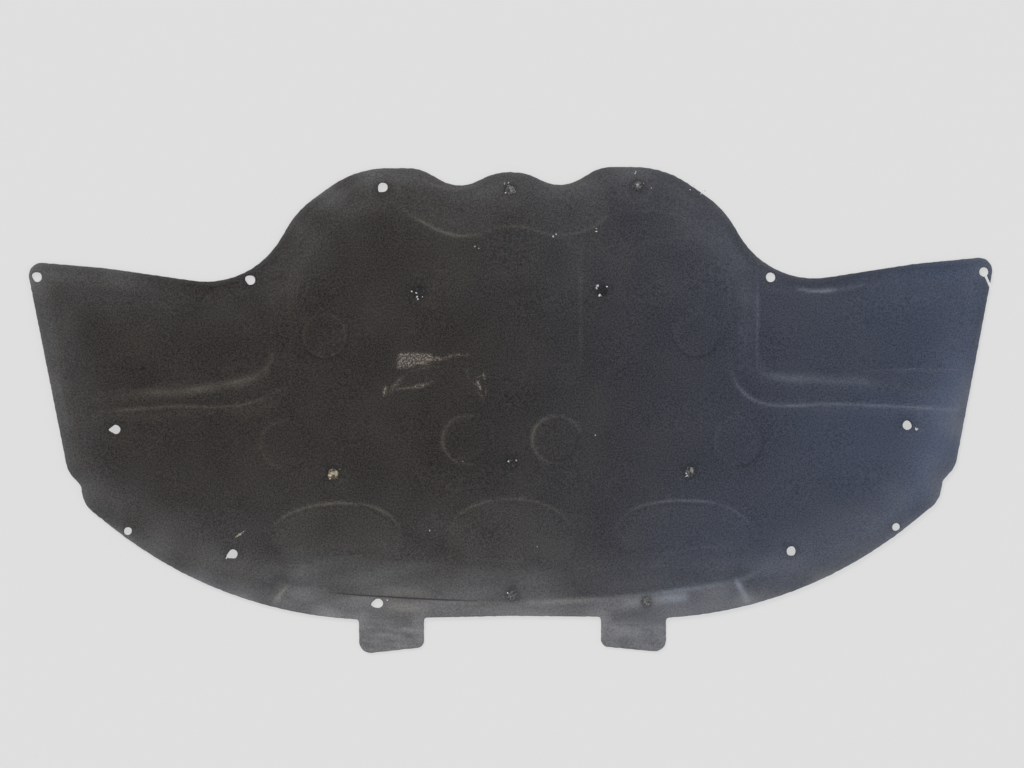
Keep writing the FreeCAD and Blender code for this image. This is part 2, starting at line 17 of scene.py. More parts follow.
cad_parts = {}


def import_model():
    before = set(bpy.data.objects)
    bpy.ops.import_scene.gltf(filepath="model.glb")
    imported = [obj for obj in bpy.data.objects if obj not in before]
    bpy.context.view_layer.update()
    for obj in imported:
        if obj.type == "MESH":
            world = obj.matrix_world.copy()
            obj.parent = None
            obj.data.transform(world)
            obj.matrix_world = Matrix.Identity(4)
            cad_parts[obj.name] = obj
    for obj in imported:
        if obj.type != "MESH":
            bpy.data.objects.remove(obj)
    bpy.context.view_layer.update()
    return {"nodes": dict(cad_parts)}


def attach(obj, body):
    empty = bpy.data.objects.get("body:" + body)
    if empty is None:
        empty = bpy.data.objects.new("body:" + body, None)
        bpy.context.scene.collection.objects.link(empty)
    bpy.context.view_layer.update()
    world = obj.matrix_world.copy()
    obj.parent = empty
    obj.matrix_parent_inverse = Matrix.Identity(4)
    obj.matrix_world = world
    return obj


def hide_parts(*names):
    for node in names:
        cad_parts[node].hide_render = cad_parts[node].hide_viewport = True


log = logging.getLogger("pad")

NODE = "insulation_pad"
BODY = "root"
MM = 0.001
SEED = 7

# Two ends between which something runs, and a place in the plan, in millimetres.
Span = tuple[float, float]
Spot = tuple[float, float]


class Damage(Enum):
    """State of a clip hole."""

    CLEAN = "clean"
    TORN = "torn"
    CLOGGED = "clogged"


class Mask(Enum):
    """Attribute of a piece's points that its material reads."""

    PAINTED_COOL_LIGHT = "painted_cool_light"
    RUB_AND_HIGHLIGHT = "rub_and_highlight"
    DUST_AND_LIGHT = "dust_and_light"
    RESIDUE = "residue"
    DIRT_AND_SHADE = "dirt_and_shade"
    PALE = "pale"
    WARM = "warm"


def linear(code: str) -> tuple[float, float, float, float]:
    """Turn an sRGB hex colour into linear red, green, blue and alpha.

    Args:
        code: Colour such as "#3a3836".

    Returns:
        Linear colour with an alpha of one.
    """
    channels = [int(code[i:i + 2], 16) / 255 for i in (1, 3, 5)]
    bent = [c / 12.92 if c <= 0.04045 else ((c + 0.055) / 1.055) ** 2.4 for c in channels]
    return (bent[0], bent[1], bent[2], 1.0)


def add(tree: bpy.types.NodeTree, kind: str, links: dict | None = None,
        **settings: object) -> bpy.types.Node:
    """Add one node with its settings and its incoming links.

    Args:
        tree: Node tree that takes the node.
        kind: Blender's node type.
        links: Input name or number to the output socket or plain value that feeds it.
        settings: Attributes of the node itself.

    Returns:
        The new node.
    """
    node = tree.nodes.new(kind)
    for name, value in settings.items():
        setattr(node, name, value)
    for name, source in (links or {}).items():
        if isinstance(source, bpy.types.NodeSocket):
            tree.links.new(source, node.inputs[name])
        else:
            node.inputs[name].default_value = source
    return node


def new_material(name: str) -> tuple[bpy.types.Material, bpy.types.NodeTree, bpy.types.Node]:
    """Start a node material.

    Args:
        name: Name of the real material.

    Returns:
        The material, its tree and its surface shader.
    """
    material = bpy.data.materials.new(name)
    material.use_nodes = True
    tree = material.node_tree
    return material, tree, tree.nodes["Principled BSDF"]


def new_object(name: str, data: bpy.types.ID) -> bpy.types.Object:
    """Put a mesh, a lamp or a camera into the scene.

    Args:
        name: Name of the object.
        data: The mesh, lamp or camera.

    Returns:
        The new object.
    """
    thing = bpy.data.objects.new(name, data)
    bpy.context.scene.collection.objects.link(thing)
    return thing


def new_piece(name: str, places: np.ndarray, tris: np.ndarray,
              masks: dict[Mask, np.ndarray]) -> bpy.types.Object:
    """Turn points and triangles into a smooth-shaded piece.

    Args:
        name: Name of the piece.
        places: Its points in millimetres.
        tris: Its triangles.
        masks: What its material reads, one value for each point.

    Returns:
        The new piece.
    """
    mesh = bpy.data.meshes.new(name)
    mesh.from_pydata((places * MM).tolist(), [], tris.tolist())
    mesh.validate()
    mesh.polygons.foreach_set("use_smooth", [True] * len(mesh.polygons))
    mesh.update()
    for mask, values in masks.items():
        layer = mesh.attributes.new(mask.value, "FLOAT", "POINT")
        layer.data.foreach_set("value", values.astype(np.float32))
    return new_object(name, mesh)


@dataclass(frozen=True)
class FeltFinish:
    """Needled polyester felt with a charcoal fleece face, pressed hot.

    The eye sees a matt near-black ground with a fine grain of fibres, paler where the fleece
    is rubbed on ridges and edges and with painted highlights on ridges and slopes, with a
    painted bluish light on the right, grey with road dust along the front flange and with
    painted light on the shaded edge slope, darker in hollows, and with painted shade at the
    pillows' feet and in a fold.
    """

    name: str = "charcoal_needled_felt"
    ground: str = "#403d3b"
    deep: str = "#1e1c1b"
    # Pale of rubbed fleece and of painted highlights, warm and cool.
    rub_and_highlight_tone: str = "#8a857b"
    rub_and_highlight_cool: str = "#858c98"
    # Colour of the painted bluish light on the right.
    painted_cool_light: str = "#4b576f"
    # Grey of road dust and of the painted light along the edge.
    dust_and_light: str = "#8a8b8e"
    residue: str = "#b0a599"
    roughness: float = 0.94
    specular: float = 0.15
    sheen: float = 0.06
    sheen_roughness: float = 0.5
    # Fibres are about 0.03 mm thick, so the grain is drawn as clumps that show a step away.
    grain_mm: float = 2.0
    speck_mm: float = 2.3
    mottle_mm: float = 70.0
    bump_mm: float = 0.35
    bump_strength: float = 0.5
    # Values of the grain, the mottle and the painted cool light between which two colours mix.
    grain_span: Span = (0.425, 0.585)
    mottle_span: Span = (0.4, 0.8)
    mottle_most: float = 0.05
    cool_span: Span = (0.05, 0.3)

    def build(self) -> bpy.types.Material:
        """Make the felt's material.

        Returns:
            Material that reads the pad's painted cool light, rub and painted highlights, dust and painted
            edge light, residue, and dirt and painted shade.
        """
        material, tree, shader = new_material(self.name)
        place = add(tree, "ShaderNodeTexCoord").outputs["Object"]
        grain = add(tree, "ShaderNodeTexNoise", {
            "Vector": place, "Scale": 1 / (self.grain_mm * MM), "Detail": 5.0, "Roughness": 0.8,
        }).outputs["Fac"]
        speck = add(tree, "ShaderNodeTexNoise", {
            "Vector": place, "Scale": 1 / (self.speck_mm * MM), "Detail": 3.0, "Roughness": 0.7,
        }).outputs["Fac"]
        mottle = add(tree, "ShaderNodeTexNoise", {
            "Vector": place, "Scale": 1 / (self.mottle_mm * MM), "Detail": 4.0,
        }).outputs["Fac"]
        base = self.spread(tree, grain, self.grain_span, (self.deep, self.ground))
        faint = add(tree, "ShaderNodeMapRange", {
            "Value": mottle, "From Min": self.mottle_span[0], "From Max": self.mottle_span[1],
            "To Max": self.mottle_most,
        }).outputs["Result"]
        base = add(tree, "ShaderNodeMix", {
            "Factor": faint, "A": base, "B": linear(self.rub_and_highlight_tone),
        }, data_type="RGBA").outputs["Result"]
        # Rubbed fleece and painted highlights are warm on the bare ground and cool under the painted cool
        # light.
        cool_lit_share = add(tree, "ShaderNodeAttribute", attribute_name=Mask.PAINTED_COOL_LIGHT.value).outputs["Fac"]
        rub_and_highlight_tone = self.spread(tree, cool_lit_share, self.cool_span, (self.rub_and_highlight_tone, self.rub_and_highlight_cool))
        # Mask, colour, the noise that breaks it up, the noise's span, and the share that it gives.
        layers = (
            # Painted cool light, rub with painted highlights, dust with painted edge light, paper residue,
            # and dirt with painted shade.
            (Mask.PAINTED_COOL_LIGHT, linear(self.painted_cool_light), grain, (0.4, 0.6), (0.55, 1.45)),
            (Mask.RUB_AND_HIGHLIGHT, rub_and_highlight_tone, grain, (0.35, 0.65), (0.5, 1.5)),
            (Mask.DUST_AND_LIGHT, linear(self.dust_and_light), grain, (0.35, 0.65), (0.6, 1.4)),
            (Mask.RESIDUE, linear(self.residue), speck, (0.44, 0.61), (0.0, 0.78)),
            (Mask.DIRT_AND_SHADE, linear(self.deep), grain, (0.35, 0.65), (0.7, 1.0)),
        )
        for mask, colour, breakup, (low, high), (least, most) in layers:
            speckle = add(tree, "ShaderNodeMapRange", {
                "Value": breakup, "From Min": low, "From Max": high, "To Min": least, "To Max": most,
            }).outputs["Result"]
            cover = add(tree, "ShaderNodeAttribute", attribute_name=mask.value).outputs["Fac"]
            share = add(tree, "ShaderNodeMath", {0: cover, 1: speckle},
                        operation="MULTIPLY", use_clamp=True).outputs[0]
            base = add(tree, "ShaderNodeMix", {
                "Factor": share, "A": base, "B": colour,
            }, data_type="RGBA").outputs["Result"]
        tree.links.new(base, shader.inputs["Base Color"])
        bump = add(tree, "ShaderNodeBump", {
            "Height": grain, "Strength": self.bump_strength, "Distance": self.bump_mm * MM,
        }).outputs["Normal"]
        tree.links.new(bump, shader.inputs["Normal"])
        shader.inputs["Roughness"].default_value = self.roughness
        shader.inputs["Sheen Weight"].default_value = self.sheen
        shader.inputs["Sheen Roughness"].default_value = self.sheen_roughness
        shader.inputs["Specular IOR Level"].default_value = self.specular
        return material

    def spread(self, tree: bpy.types.NodeTree, value: bpy.types.NodeSocket, span: Span,
               colours: tuple[str, str]) -> bpy.types.NodeSocket:
        """Mix two colours by a value.

        Args:
            tree: Node tree of the felt.
            value: What mixes them.
            span: Values that give the first colour and the second.
            colours: The two colours.

        Returns:
            The mixed colour.
        """
        share = add(tree, "ShaderNodeMapRange", {
            "Value": value, "From Min": span[0], "From Max": span[1],
        }).outputs["Result"]
        return add(tree, "ShaderNodeMix", {
            "Factor": share, "A": linear(colours[0]), "B": linear(colours[1]),
        }, data_type="RGBA").outputs["Result"]


@dataclass(frozen=True)
class FrayFinish:
    """Torn fleece: polyester fibres pulled out of the felt.

    The eye sees matt tufts, dark where dirty, pale where fresh, and beige in one clip hole and
    in the nick.
    """

    name: str = "torn_fleece_fibre"
    pale: str = "#dcdde0"
    pale_warm: str = "#d9c8ae"
    dark: str = "#343437"
    clump_mm: float = 2.5
    clump_span: Span = (0.35, 0.6)
    clump_least: float = 0.35
    roughness: float = 0.95
    specular: float = 0.15

    def build(self) -> bpy.types.Material:
        """Make the fibres' material.

        Returns:
            Material that reads the fibres' paleness and warmth.
        """
        material, tree, shader = new_material(self.name)
        place = add(tree, "ShaderNodeTexCoord").outputs["Object"]
        clump = add(tree, "ShaderNodeTexNoise", {
            "Vector": place, "Scale": 1 / (self.clump_mm * MM), "Detail": 4.0,
        }).outputs["Fac"]
        patchy = add(tree, "ShaderNodeMapRange", {
            "Value": clump, "From Min": self.clump_span[0], "From Max": self.clump_span[1],
            "To Min": self.clump_least,
        }).outputs["Result"]
        pale = add(tree, "ShaderNodeAttribute", attribute_name=Mask.PALE.value).outputs["Fac"]
        share = add(tree, "ShaderNodeMath", {0: pale, 1: patchy}, operation="MULTIPLY").outputs[0]
        warm = add(tree, "ShaderNodeAttribute", attribute_name=Mask.WARM.value).outputs["Fac"]
        light = add(tree, "ShaderNodeMix", {
            "Factor": warm, "A": linear(self.pale), "B": linear(self.pale_warm),
        }, data_type="RGBA").outputs["Result"]
        colour = add(tree, "ShaderNodeMix", {
            "Factor": share, "A": linear(self.dark), "B": light,
        }, data_type="RGBA").outputs["Result"]
        tree.links.new(colour, shader.inputs["Base Color"])
        shader.inputs["Roughness"].default_value = self.roughness
        shader.inputs["Specular IOR Level"].default_value = self.specular
        return material


@dataclass(frozen=True)
class FloorFinish:
    """Matt paper sweep: the eye sees one plain pale tone with the pad's faint shadow on it."""

    name: str = "pale_paper_sweep"
    shade: str = "#e0e0e0"
    roughness: float = 1.0
    even_share: float = 0.75

    def build(self) -> bpy.types.Material:
        """Make the paper: even where it is seen, and still shaded by the pad.

        Returns:
            The paper's material.
        """
        material, tree, shader = new_material(self.name)
        shader.inputs["Base Color"].default_value = linear(self.shade)
        shader.inputs["Roughness"].default_value = self.roughness
        shader.inputs["Specular IOR Level"].default_value = 0.0
        rays = add(tree, "ShaderNodeLightPath").outputs
        seen = rays["Is Camera Ray"]
        for other in ("Is Glossy Ray", "Is Transmission Ray"):
            seen = add(tree, "ShaderNodeMath", {0: seen, 1: rays[other]}, operation="MAXIMUM").outputs[0]
        share = add(tree, "ShaderNodeMath", {0: seen, 1: self.even_share}, operation="MULTIPLY")
        glow = add(tree, "ShaderNodeEmission", {"Color": linear(self.shade), "Strength": 1.0})
        mixed = add(tree, "ShaderNodeMixShader", {
            0: share.outputs[0], 1: shader.outputs[0], 2: glow.outputs[0],
        })
        tree.links.new(mixed.outputs[0], tree.nodes["Material Output"].inputs["Surface"])
        return material


def area(loop: np.ndarray) -> float:
    """Signed area of a closed loop."""
    onward = np.roll(loop, -1, 0)
    return float((loop[:, 0] * onward[:, 1] - loop[:, 1] * onward[:, 0]).sum() / 2)


def outward(loop: np.ndarray) -> np.ndarray:
    """Find the way out of the felt along a cut edge.

    Args:
        loop: Points of the edge, in order.

    Returns:
        One unit normal for each point.
    """
    along = np.roll(loop, -1, 0) - np.roll(loop, 1, 0)
    normal = np.column_stack((along[:, 1], -along[:, 0]))
    return normal / np.maximum(np.linalg.norm(normal, axis=1, keepdims=True), 1e-9)


def within(points: np.ndarray, loop: np.ndarray) -> np.ndarray:
    """Tell which points lie inside a closed loop.

    Args:
        points: Places in the plan.
        loop: Corners of the loop, in order.

    Returns:
        True for each point inside.
    """
    inside = np.zeros(len(points), bool)
    for (x0, y0), (x1, y1) in zip(loop, np.roll(loop, -1, 0)):
        crosses = (y0 > points[:, 1]) != (y1 > points[:, 1])
        at = x0 + (points[:, 1] - y0) * (x1 - x0) / ((y1 - y0) or 1.0)
        inside ^= crosses & (points[:, 0] < at)
    return inside


def ramp(value: np.ndarray, low: float, high: float) -> np.ndarray:
    """Smooth step from zero at `low` to one at `high`."""
    share = np.clip((value - low) / (high - low), 0, 1)
    return share * share * (3 - 2 * share)


def near_line(points: np.ndarray, line: np.ndarray) -> np.ndarray:
    """Measure how far points are from a broken line.

    Args:
        points: Places in the plan, in millimetres.
        line: Corners of the line, in order.

    Returns:
        One distance for each point.
    """
    best = np.full(len(points), 1e9)
    for start, end in zip(line[:-1], line[1:]):
        run = end - start
        share = np.clip(((points - start) @ run) / (run @ run), 0, 1)
        best = np.minimum(best, np.linalg.norm(points - start - share[:, None] * run, axis=1))
    return best


def as_tree(points: np.ndarray) -> kdtree.KDTree:
    """Make a tree that finds the nearest of some points of the plan.

    Args:
        points: Places in the plan, in millimetres.

    Returns:
        The tree.
    """
    tree = kdtree.KDTree(len(points))
    for index, (x, y) in enumerate(points):
        tree.insert((x, y, 0), index)
    tree.balance()
    return tree


def gaps(tree: kdtree.KDTree, points: np.ndarray) -> np.ndarray:
    """Distance from each point to the nearest point of a tree."""
    return np.array([tree.find((x, y, 0))[2] for x, y in points])


def arc(x: float, y: float, radius: float, first: float, last: float) -> tuple[Spot, ...]:
    """Draw an arc.

    Args:
        x: Its centre to the right, in millimetres.
        y: Its centre to the rear.
        radius: Its radius.
        first: Angle at its start, in degrees.
        last: Angle at its end.

    Returns:
        Points along the arc.
    """
    angles = np.radians(np.linspace(first, last, 25))
    return tuple((x + radius * math.cos(a), y + radius * math.sin(a)) for a in angles)


@dataclass(frozen=True)
class Waves:
    """Soft random waves over the plan: their typical length and the seed that picks them."""

    length_mm: float
    seed: int
    count: int = 14
    stretch: Span = (0.7, 1.6)

    def over(self, points: np.ndarray) -> np.ndarray:
        """Sum the waves.

        Args:
            points: Places in millimetres.

        Returns:
            One value for each point, mostly from minus one to one.
        """
        draw = np.random.default_rng(self.seed)
        total = np.zeros(len(points))
        for _ in range(self.count):
            angle = draw.uniform(0, 2 * math.pi)
            length = self.length_mm * draw.uniform(*self.stretch)
            phase = draw.uniform(0, 2 * math.pi)
            across = points[:, 0] * math.cos(angle) + points[:, 1] * math.sin(angle)
            total += np.sin(across * 2 * math.pi / length + phase)
        return total / math.sqrt(self.count)


@dataclass
class Plan:
    """Plan of the pad: its cut edge and its holes, read from the flat back of the solid."""

    edge_step_mm: float = 2.6
    hole_step_mm: float = 1.3
    # A loop longer than this is the edge, and a turn sharper than this is a corner.
    edge_around_mm: float = 200.0
    corner_deg: float = 35.0
    flat_m: float = 1e-6
    loops: list[np.ndarray] = field(default_factory=list)

    def read(self, solid: bpy.types.Object) -> None:
        """Chain the back face's open edges into closed loops and even out their points.

        Args:
            solid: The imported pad.
        """
        mesh = solid.data
        places = np.array([v.co for v in mesh.vertices])
        mesh.calc_loop_triangles()
        # Sides of the back's triangles, in order, without those that two triangles share.
        sides: dict[tuple, None] = {}
        keys = [tuple(np.round(p[:2] / MM, 3)) for p in places]
        flat = np.abs(places[:, 2]) < self.flat_m
        for triangle in mesh.loop_triangles:
            corners = triangle.vertices
            if not all(flat[c] for c in corners):
                continue
            for a, b in zip(corners, (*corners[1:], corners[0])):
                if (keys[b], keys[a]) in sides:
                    del sides[(keys[b], keys[a])]
                else:
                    sides[(keys[a], keys[b])] = None
        onward = dict(sides.keys())
        while onward:
            start, here = next(iter(onward.items()))
            chain = [start]
            del onward[start]
            while here != start:
                chain.append(here)
                here = onward.pop(here)
            self.loops.append(self.even(np.array(chain)))
        self.loops.sort(key=lambda loop: -abs(area(loop)))
        # The skin walks the edge anticlockwise and the holes clockwise.
        for index, loop in enumerate(self.loops):
            if (area(loop) > 0) != (index == 0):
                self.loops[index] = loop[::-1]

    def even(self, chain: np.ndarray) -> np.ndarray:
        """Spread points evenly along a loop, and keep its sharp corners.

        Args:
            chain: Closed loop in millimetres.

        Returns:
            The loop with evenly spaced points.
        """
        around = np.linalg.norm(np.roll(chain, -1, 0) - chain, axis=1).sum()
        step = self.edge_step_mm if around > self.edge_around_mm else self.hole_step_mm
        before, after = chain - np.roll(chain, 1, 0), np.roll(chain, -1, 0) - chain
        turn = np.arctan2(
            before[:, 0] * after[:, 1] - before[:, 1] * after[:, 0], (before * after).sum(1)
        )
        corners = np.flatnonzero(np.abs(turn) > math.radians(self.corner_deg))
        if len(corners) == 0:
            corners = np.array([0])
        out = []
        for first, last in zip(corners, (*corners[1:], corners[0] + len(chain))):
            run = chain[np.arange(first, last + 1) % len(chain)]
            lengths = np.linalg.norm(np.diff(run, axis=0), axis=1)
            along = np.concatenate(([0], lengths.cumsum()))
            count = max(1, round(along[-1] / step))
            marks = np.linspace(0, along[-1], count, endpoint=False)
            out.append(np.column_stack([np.interp(marks, along, run[:, k]) for k in (0, 1)]))
        return np.concatenate(out)


@dataclass
class SolidFace:
    """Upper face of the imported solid, as a rod finds it from straight above."""

    solid: bpy.types.Object
    rod_m: float = 1.0
    least_m: float = 1e-4
    tree: BVHTree = field(init=False)

    def __post_init__(self) -> None:
        """Make the tree that the rod tests."""
        mesh = self.solid.data
        mesh.calc_loop_triangles()
        self.tree = BVHTree.FromPolygons(
            [v.co for v in mesh.vertices], [t.vertices for t in mesh.loop_triangles]
        )

    def height(self, x: float, y: float) -> float | None:
        """Find the height of the face.

        Args:
            x: Place to the right, in millimetres.
            y: Place to the rear.

        Returns:
            Height in millimetres, or None beside the pad.
        """
        hit = self.tree.ray_cast(Vector((x * MM, y * MM, self.rod_m)), Vector((0, 0, -1)))[0]
        return None if hit is None or hit.z < self.least_m else hit.z / MM


@dataclass(frozen=True)
class Clip:
    """A clip hole: its place, the way it tore, and the fibres that clog or fringe it.

    A tear has a direction, a reach and a spread either side. A plug has a paleness from dark
    nought to pale one, on a bed with its own, and a warmth. A fleck has its offset and its size,
    in millimetres, and where it is duller than the rest, its paleness.
    """

    x: float
    y: float
    state: Damage = Damage.CLEAN
    tear: tuple[float, float, float] = (0.0, 0.0, 1.0)
    plug: float = 0.0
    bed: float = 0.02
    warm: float = 0.0
    flecks: tuple[tuple[float, ...], ...] = ()

    def away(self, points: np.ndarray) -> np.ndarray:
        """Distance of each point from the middle of the hole."""
        return np.hypot(points[:, 0] - self.x, points[:, 1] - self.y)


@dataclass(frozen=True)
class MarkLine:
    """A line drawn on the fleece: its course, strength, half width and fade at its ends."""

    course: tuple[Spot, ...]
    share: float
    width: float
    fade: float = 0.55
    step_mm: float = 2.4
    soft_passes: int = 20
    # The ends fade over this length, or over this share of a short line.
    fade_mm: float = 40.0
    fade_part: float = 0.3
    # Beyond this many half widths the line has faded out.
    reach: float = 3.0

    def path(self) -> np.ndarray:
        """Run along the course in close, smooth steps.

        Returns:
            Points along the course, in millimetres.
        """
        course = np.array(self.course, float)
        lengths = np.linalg.norm(np.diff(course, axis=0), axis=1)
        along = np.concatenate(([0], lengths.cumsum()))
        marks = np.linspace(0, along[-1], max(2, round(along[-1] / self.step_mm)))
        run = np.column_stack([np.interp(marks, along, course[:, k]) for k in (0, 1)])
        for _ in range(self.soft_passes):
            run[1:-1] = 0.25 * run[:-2] + 0.5 * run[1:-1] + 0.25 * run[2:]
        return run

    def shade(self, points: np.ndarray) -> np.ndarray:
        """Find how strongly the line marks each point.

        Args:
            points: Places in the plan, in millimetres.

        Returns:
            One share for each point.
        """
        run = self.path()
        margin = self.reach * self.width
        low, high = run.min(0) - margin, run.max(0) + margin
        close = np.flatnonzero(((points > low) & (points < high)).all(1))
        out = np.zeros(len(points))
        spots = points[close]
        ends = np.minimum(*(np.linalg.norm(spots - run[k], axis=1) for k in (0, -1)))
        length = np.linalg.norm(np.diff(run, axis=0), axis=1).sum()
        fade = 1 - self.fade * (1 - ramp(ends, 0, min(self.fade_mm, self.fade_part * length)))
        out[close] = self.share * fade * np.exp(-(near_line(spots, run) / self.width) ** 2)
        return out


# Painted highlights on ridges that show thinly: the rear line of the field, the domes, the steps and the
# flange.
FINE_HIGHLIGHTS = (
    MarkLine((
        (-136.5, 257.4), (-117.1, 245.6), (-93.8, 232.5), (-67.9, 224.6), (-39.4, 227),
    ), 0.2, 1.6),
    MarkLine((
        (-39.4, 227), (-17.3, 236), (2.2, 238.5), (25.5, 234.5), (55.3, 223.9), (83.8, 227.7),
        (105.9, 234), (126.8, 250.8),
    ), 0.12, 1.5),
    MarkLine(((126.8, 250.8), (155.3, 257.1), (194.2, 255.6), (233.1, 245)), 0.07, 1.5),
    MarkLine((
        (-307.3, -149), (-296.9, -136.1), (-268.3, -124.5), (-222.9, -118.3), (-181.4, -122.4),
        (-158.1, -134.2), (-145.2, -149.9),
    ), 0.16, 1.8),
    MarkLine((
        (-80.4, -154.1), (-73.8, -138.6), (-55.6, -125.7), (-28.3, -116.8), (0.3, -114.3),
        (36.6, -119.7), (62.4, -131.5), (75.3, -148.5),
    ), 0.13, 1.7),
    MarkLine((
        (135, -152.7), (141.5, -138.4), (166.3, -124.3), (207.8, -118), (254.5, -119.6),
        (288.1, -130.1), (306.2, -147.1),
    ), 0.15, 1.7),
    MarkLine((
        (143, -176), (152, -184), (166, -188), (208, -186), (244, -178.5), (279, -175.5),
    ), 0.08, 1.6),
    MarkLine(((-219, -188), (-190, -187.4), (-162, -187)), 0.09, 1.5),
    MarkLine(((-60, -192), (-10, -195.5), (52, -195)), 0.07, 2.2),
    MarkLine((
        (-533.5, 0.1), (-468.6, 4.9), (-434.9, 7.4), (-396, 5.9), (-362.3, 5.7), (-336.3, 10.7),
        (-315.5, 18.4), (-299.9, 28.7),
    ), 0.1, 1.7),
    MarkLine((
        (283.9, 47.6), (291.6, 29.4), (307.1, 13.7), (330.4, 4.5), (361.5, 3.1), (413.4, 5.4),
        (491.2, 2.4), (579.4, -3.3),
    ), 0.2, 2.0),
    MarkLine(((459, 47.9), (523.9, 50.2), (579.7, 48.6)), 0.1, 1.7),
    MarkLine(((-308, -249), (-301, -237), (-291, -226)), 0.75, 2.6),
    MarkLine(((-318, -221), (-291, -226), (-255, -230.5), (-229, -234)), 0.2, 1.8),
    MarkLine(((304, -249), (299, -236), (291, -224)), 0.95, 4.2, 0.3),
    MarkLine(((289, -222), (304, -220), (318, -211)), 0.5, 3.0),
    MarkLine((
        (20, -249.5), (113.7, -246.5), (178.6, -240.5), (243.5, -231.5), (295.4, -222),
    ), 0.42, 3.0),
    MarkLine(((-207, -240.5), (-117, -246.5), (-45, -250), (20, -250.5)), 0.2, 2.4),
    MarkLine(((319.5, 160.2), (319.3, 114.8), (317.8, 75.9), (319, 50)), 0.18, 2),
    MarkLine(((374, 154.5), (392, 150.8), (408, 151.2), (421, 153)), 0.5, 2.3),
    MarkLine(((421, 153), (438, 154.5), (456, 158)), 0.12, 2),
    MarkLine(((-111.6, 298.8), (-90.9, 288.3), (-65, 285.5), (-39, 291.9)), 0.16, 1.7),
    MarkLine(((38.8, 292.8), (60.8, 284.9), (85.5, 287.3), (106.3, 298.9)), 0.12, 1.7),
    MarkLine(((91.6, 219.8), (89.9, 142), (90.7, 53.8)), 0.06, 2.2),
)
# Painted highlights on slopes that show broadly: the wing steps, the right shoulder, the flange's ends and
# the tabs.
BROAD_HIGHLIGHTS = (
    MarkLine(((-410, 30.5), (-341.3, 40.6), (-320.5, 49.5), (-311, 62), (-309.5, 74)), 0.16, 3.2),
    MarkLine(((300, -224), (318, -213), (342, -196)), 0.12, 9),
    MarkLine(((-160, -235), (-134, -236), (-112, -239)), 0.4, 7, 0.2),
    MarkLine(((-156, -253), (-118, -254)), 0.4, 8, 0.2),
    MarkLine(((148, -250), (190, -247), (222, -244)), 0.58, 7, 0.2),
    MarkLine((
        (-501, 23.3), (-429.6, 25.5), (-377.7, 31.7), (-341.3, 40.6), (-320.5, 49.5),
        (-310.1, 65.1),
    ), 0.15, 5.5),
    MarkLine(((319, 60.4), (328, 43.5), (361.7, 39.4), (426.5, 36.4), (497.9, 32.2)), 0.15, 6),
    MarkLine((
        (233.1, 242.4), (265.4, 224.1), (291.2, 190.2), (305.2, 140.9), (306.1, 63),
    ), 0.07, 13),
    MarkLine(((-200.4, -289.6), (-158.9, -288.6), (-112.2, -283.6)), 0.2, 4.5),
    MarkLine(((113.5, -288.7), (157.6, -290.3), (199.1, -287.9)), 0.4, 8),
)
# Torn paper left on the face, with the scratches beside it.
RESIDUE_LINES = (
    MarkLine(((-143, 71.4), (-120, 71.6), (-105, 70.2)), 0.9, 2.4, 0.0),
    MarkLine(((-144, 66.2), (-104, 66.2)), 0.95, 2.6, 0.0),
    MarkLine(((-145, 61), (-108, 62)), 0.85, 2.4, 0.0),
    MarkLine(((-106, 69.6), (-97, 68.6), (-89, 66.4)), 0.6, 1.3, 0.0),
    MarkLine(((-106, 64), (-97, 64.4), (-90, 66)), 0.6, 1.3, 0.0),
    MarkLine(((-145.5, 57), (-126, 58.5)), 0.8, 1.8, 0.0),
    MarkLine(((-89.5, 66.4), (-79.1, 70.3), (-68.7, 72.4), (-55.8, 71.6)), 0.6, 1.3),
    MarkLine(((-164.4, 21.4), (-162.3, 29.4)), 1.2, 1.3, 0.0),
    MarkLine(((-155.9, 24.5), (-149.4, 35.6), (-140.3, 43)), 0.4, 2.2),
    MarkLine(((-147, 27.8), (-131.3, 29.1), (-115.7, 31.7), (-101.5, 36.8)), 0.6, 1.2),
    MarkLine(((-124, 30.4), (-113, 32.6)), 0.8, 1.7, 0.0),
    MarkLine(((-134, 48.5), (-121, 53.7), (-105, 56.2), (-92, 57.5)), 0.2, 1.0),
    MarkLine(((-57, 53), (-57.5, 46), (-55, 41)), 0.22, 1.2),
    MarkLine(((-35.4, 47), (-34.8, 41.5)), 0.7, 1.0, 0.0),
    MarkLine(((-49, 35.4), (-40.7, 30.1)), 0.5, 1.1),
    MarkLine(((-43.6, 36.4), (-40, 28.6)), 1.0, 1.3, 0.0),
    MarkLine(((-45, 41.6), (-38, 44.6)), 0.4, 1.0),
    MarkLine(((-46, 26.3), (-36.4, 19.5), (-35.4, 12.5)), 0.24, 1.3),
    MarkLine(((-32.6, 29), (-33, 18.4)), 0.24, 1.1),
)
# Painted highlights on the round pillows: only the lit part of each rim that shows.
PILLOW_HIGHLIGHTS = (
    MarkLine(arc(-240.6, 97.1, 28.5, 0, 360), 0.06, 1.6),
    MarkLine(arc(240.6, 97.1, 29.0, 165, 310), 0.07, 1.6),
    MarkLine(arc(-58, -38.5, 32, 65, 280), 0.15, 2.0),
    MarkLine(arc(58, -38.5, 32, 20, 285), 0.16, 2.0),
    MarkLine(arc(-293.8, -42.4, 31, 60, 330), 0.06, 1.8),
    MarkLine(arc(293.8, -42.4, 31, 90, 300), 0.05, 1.8),
)
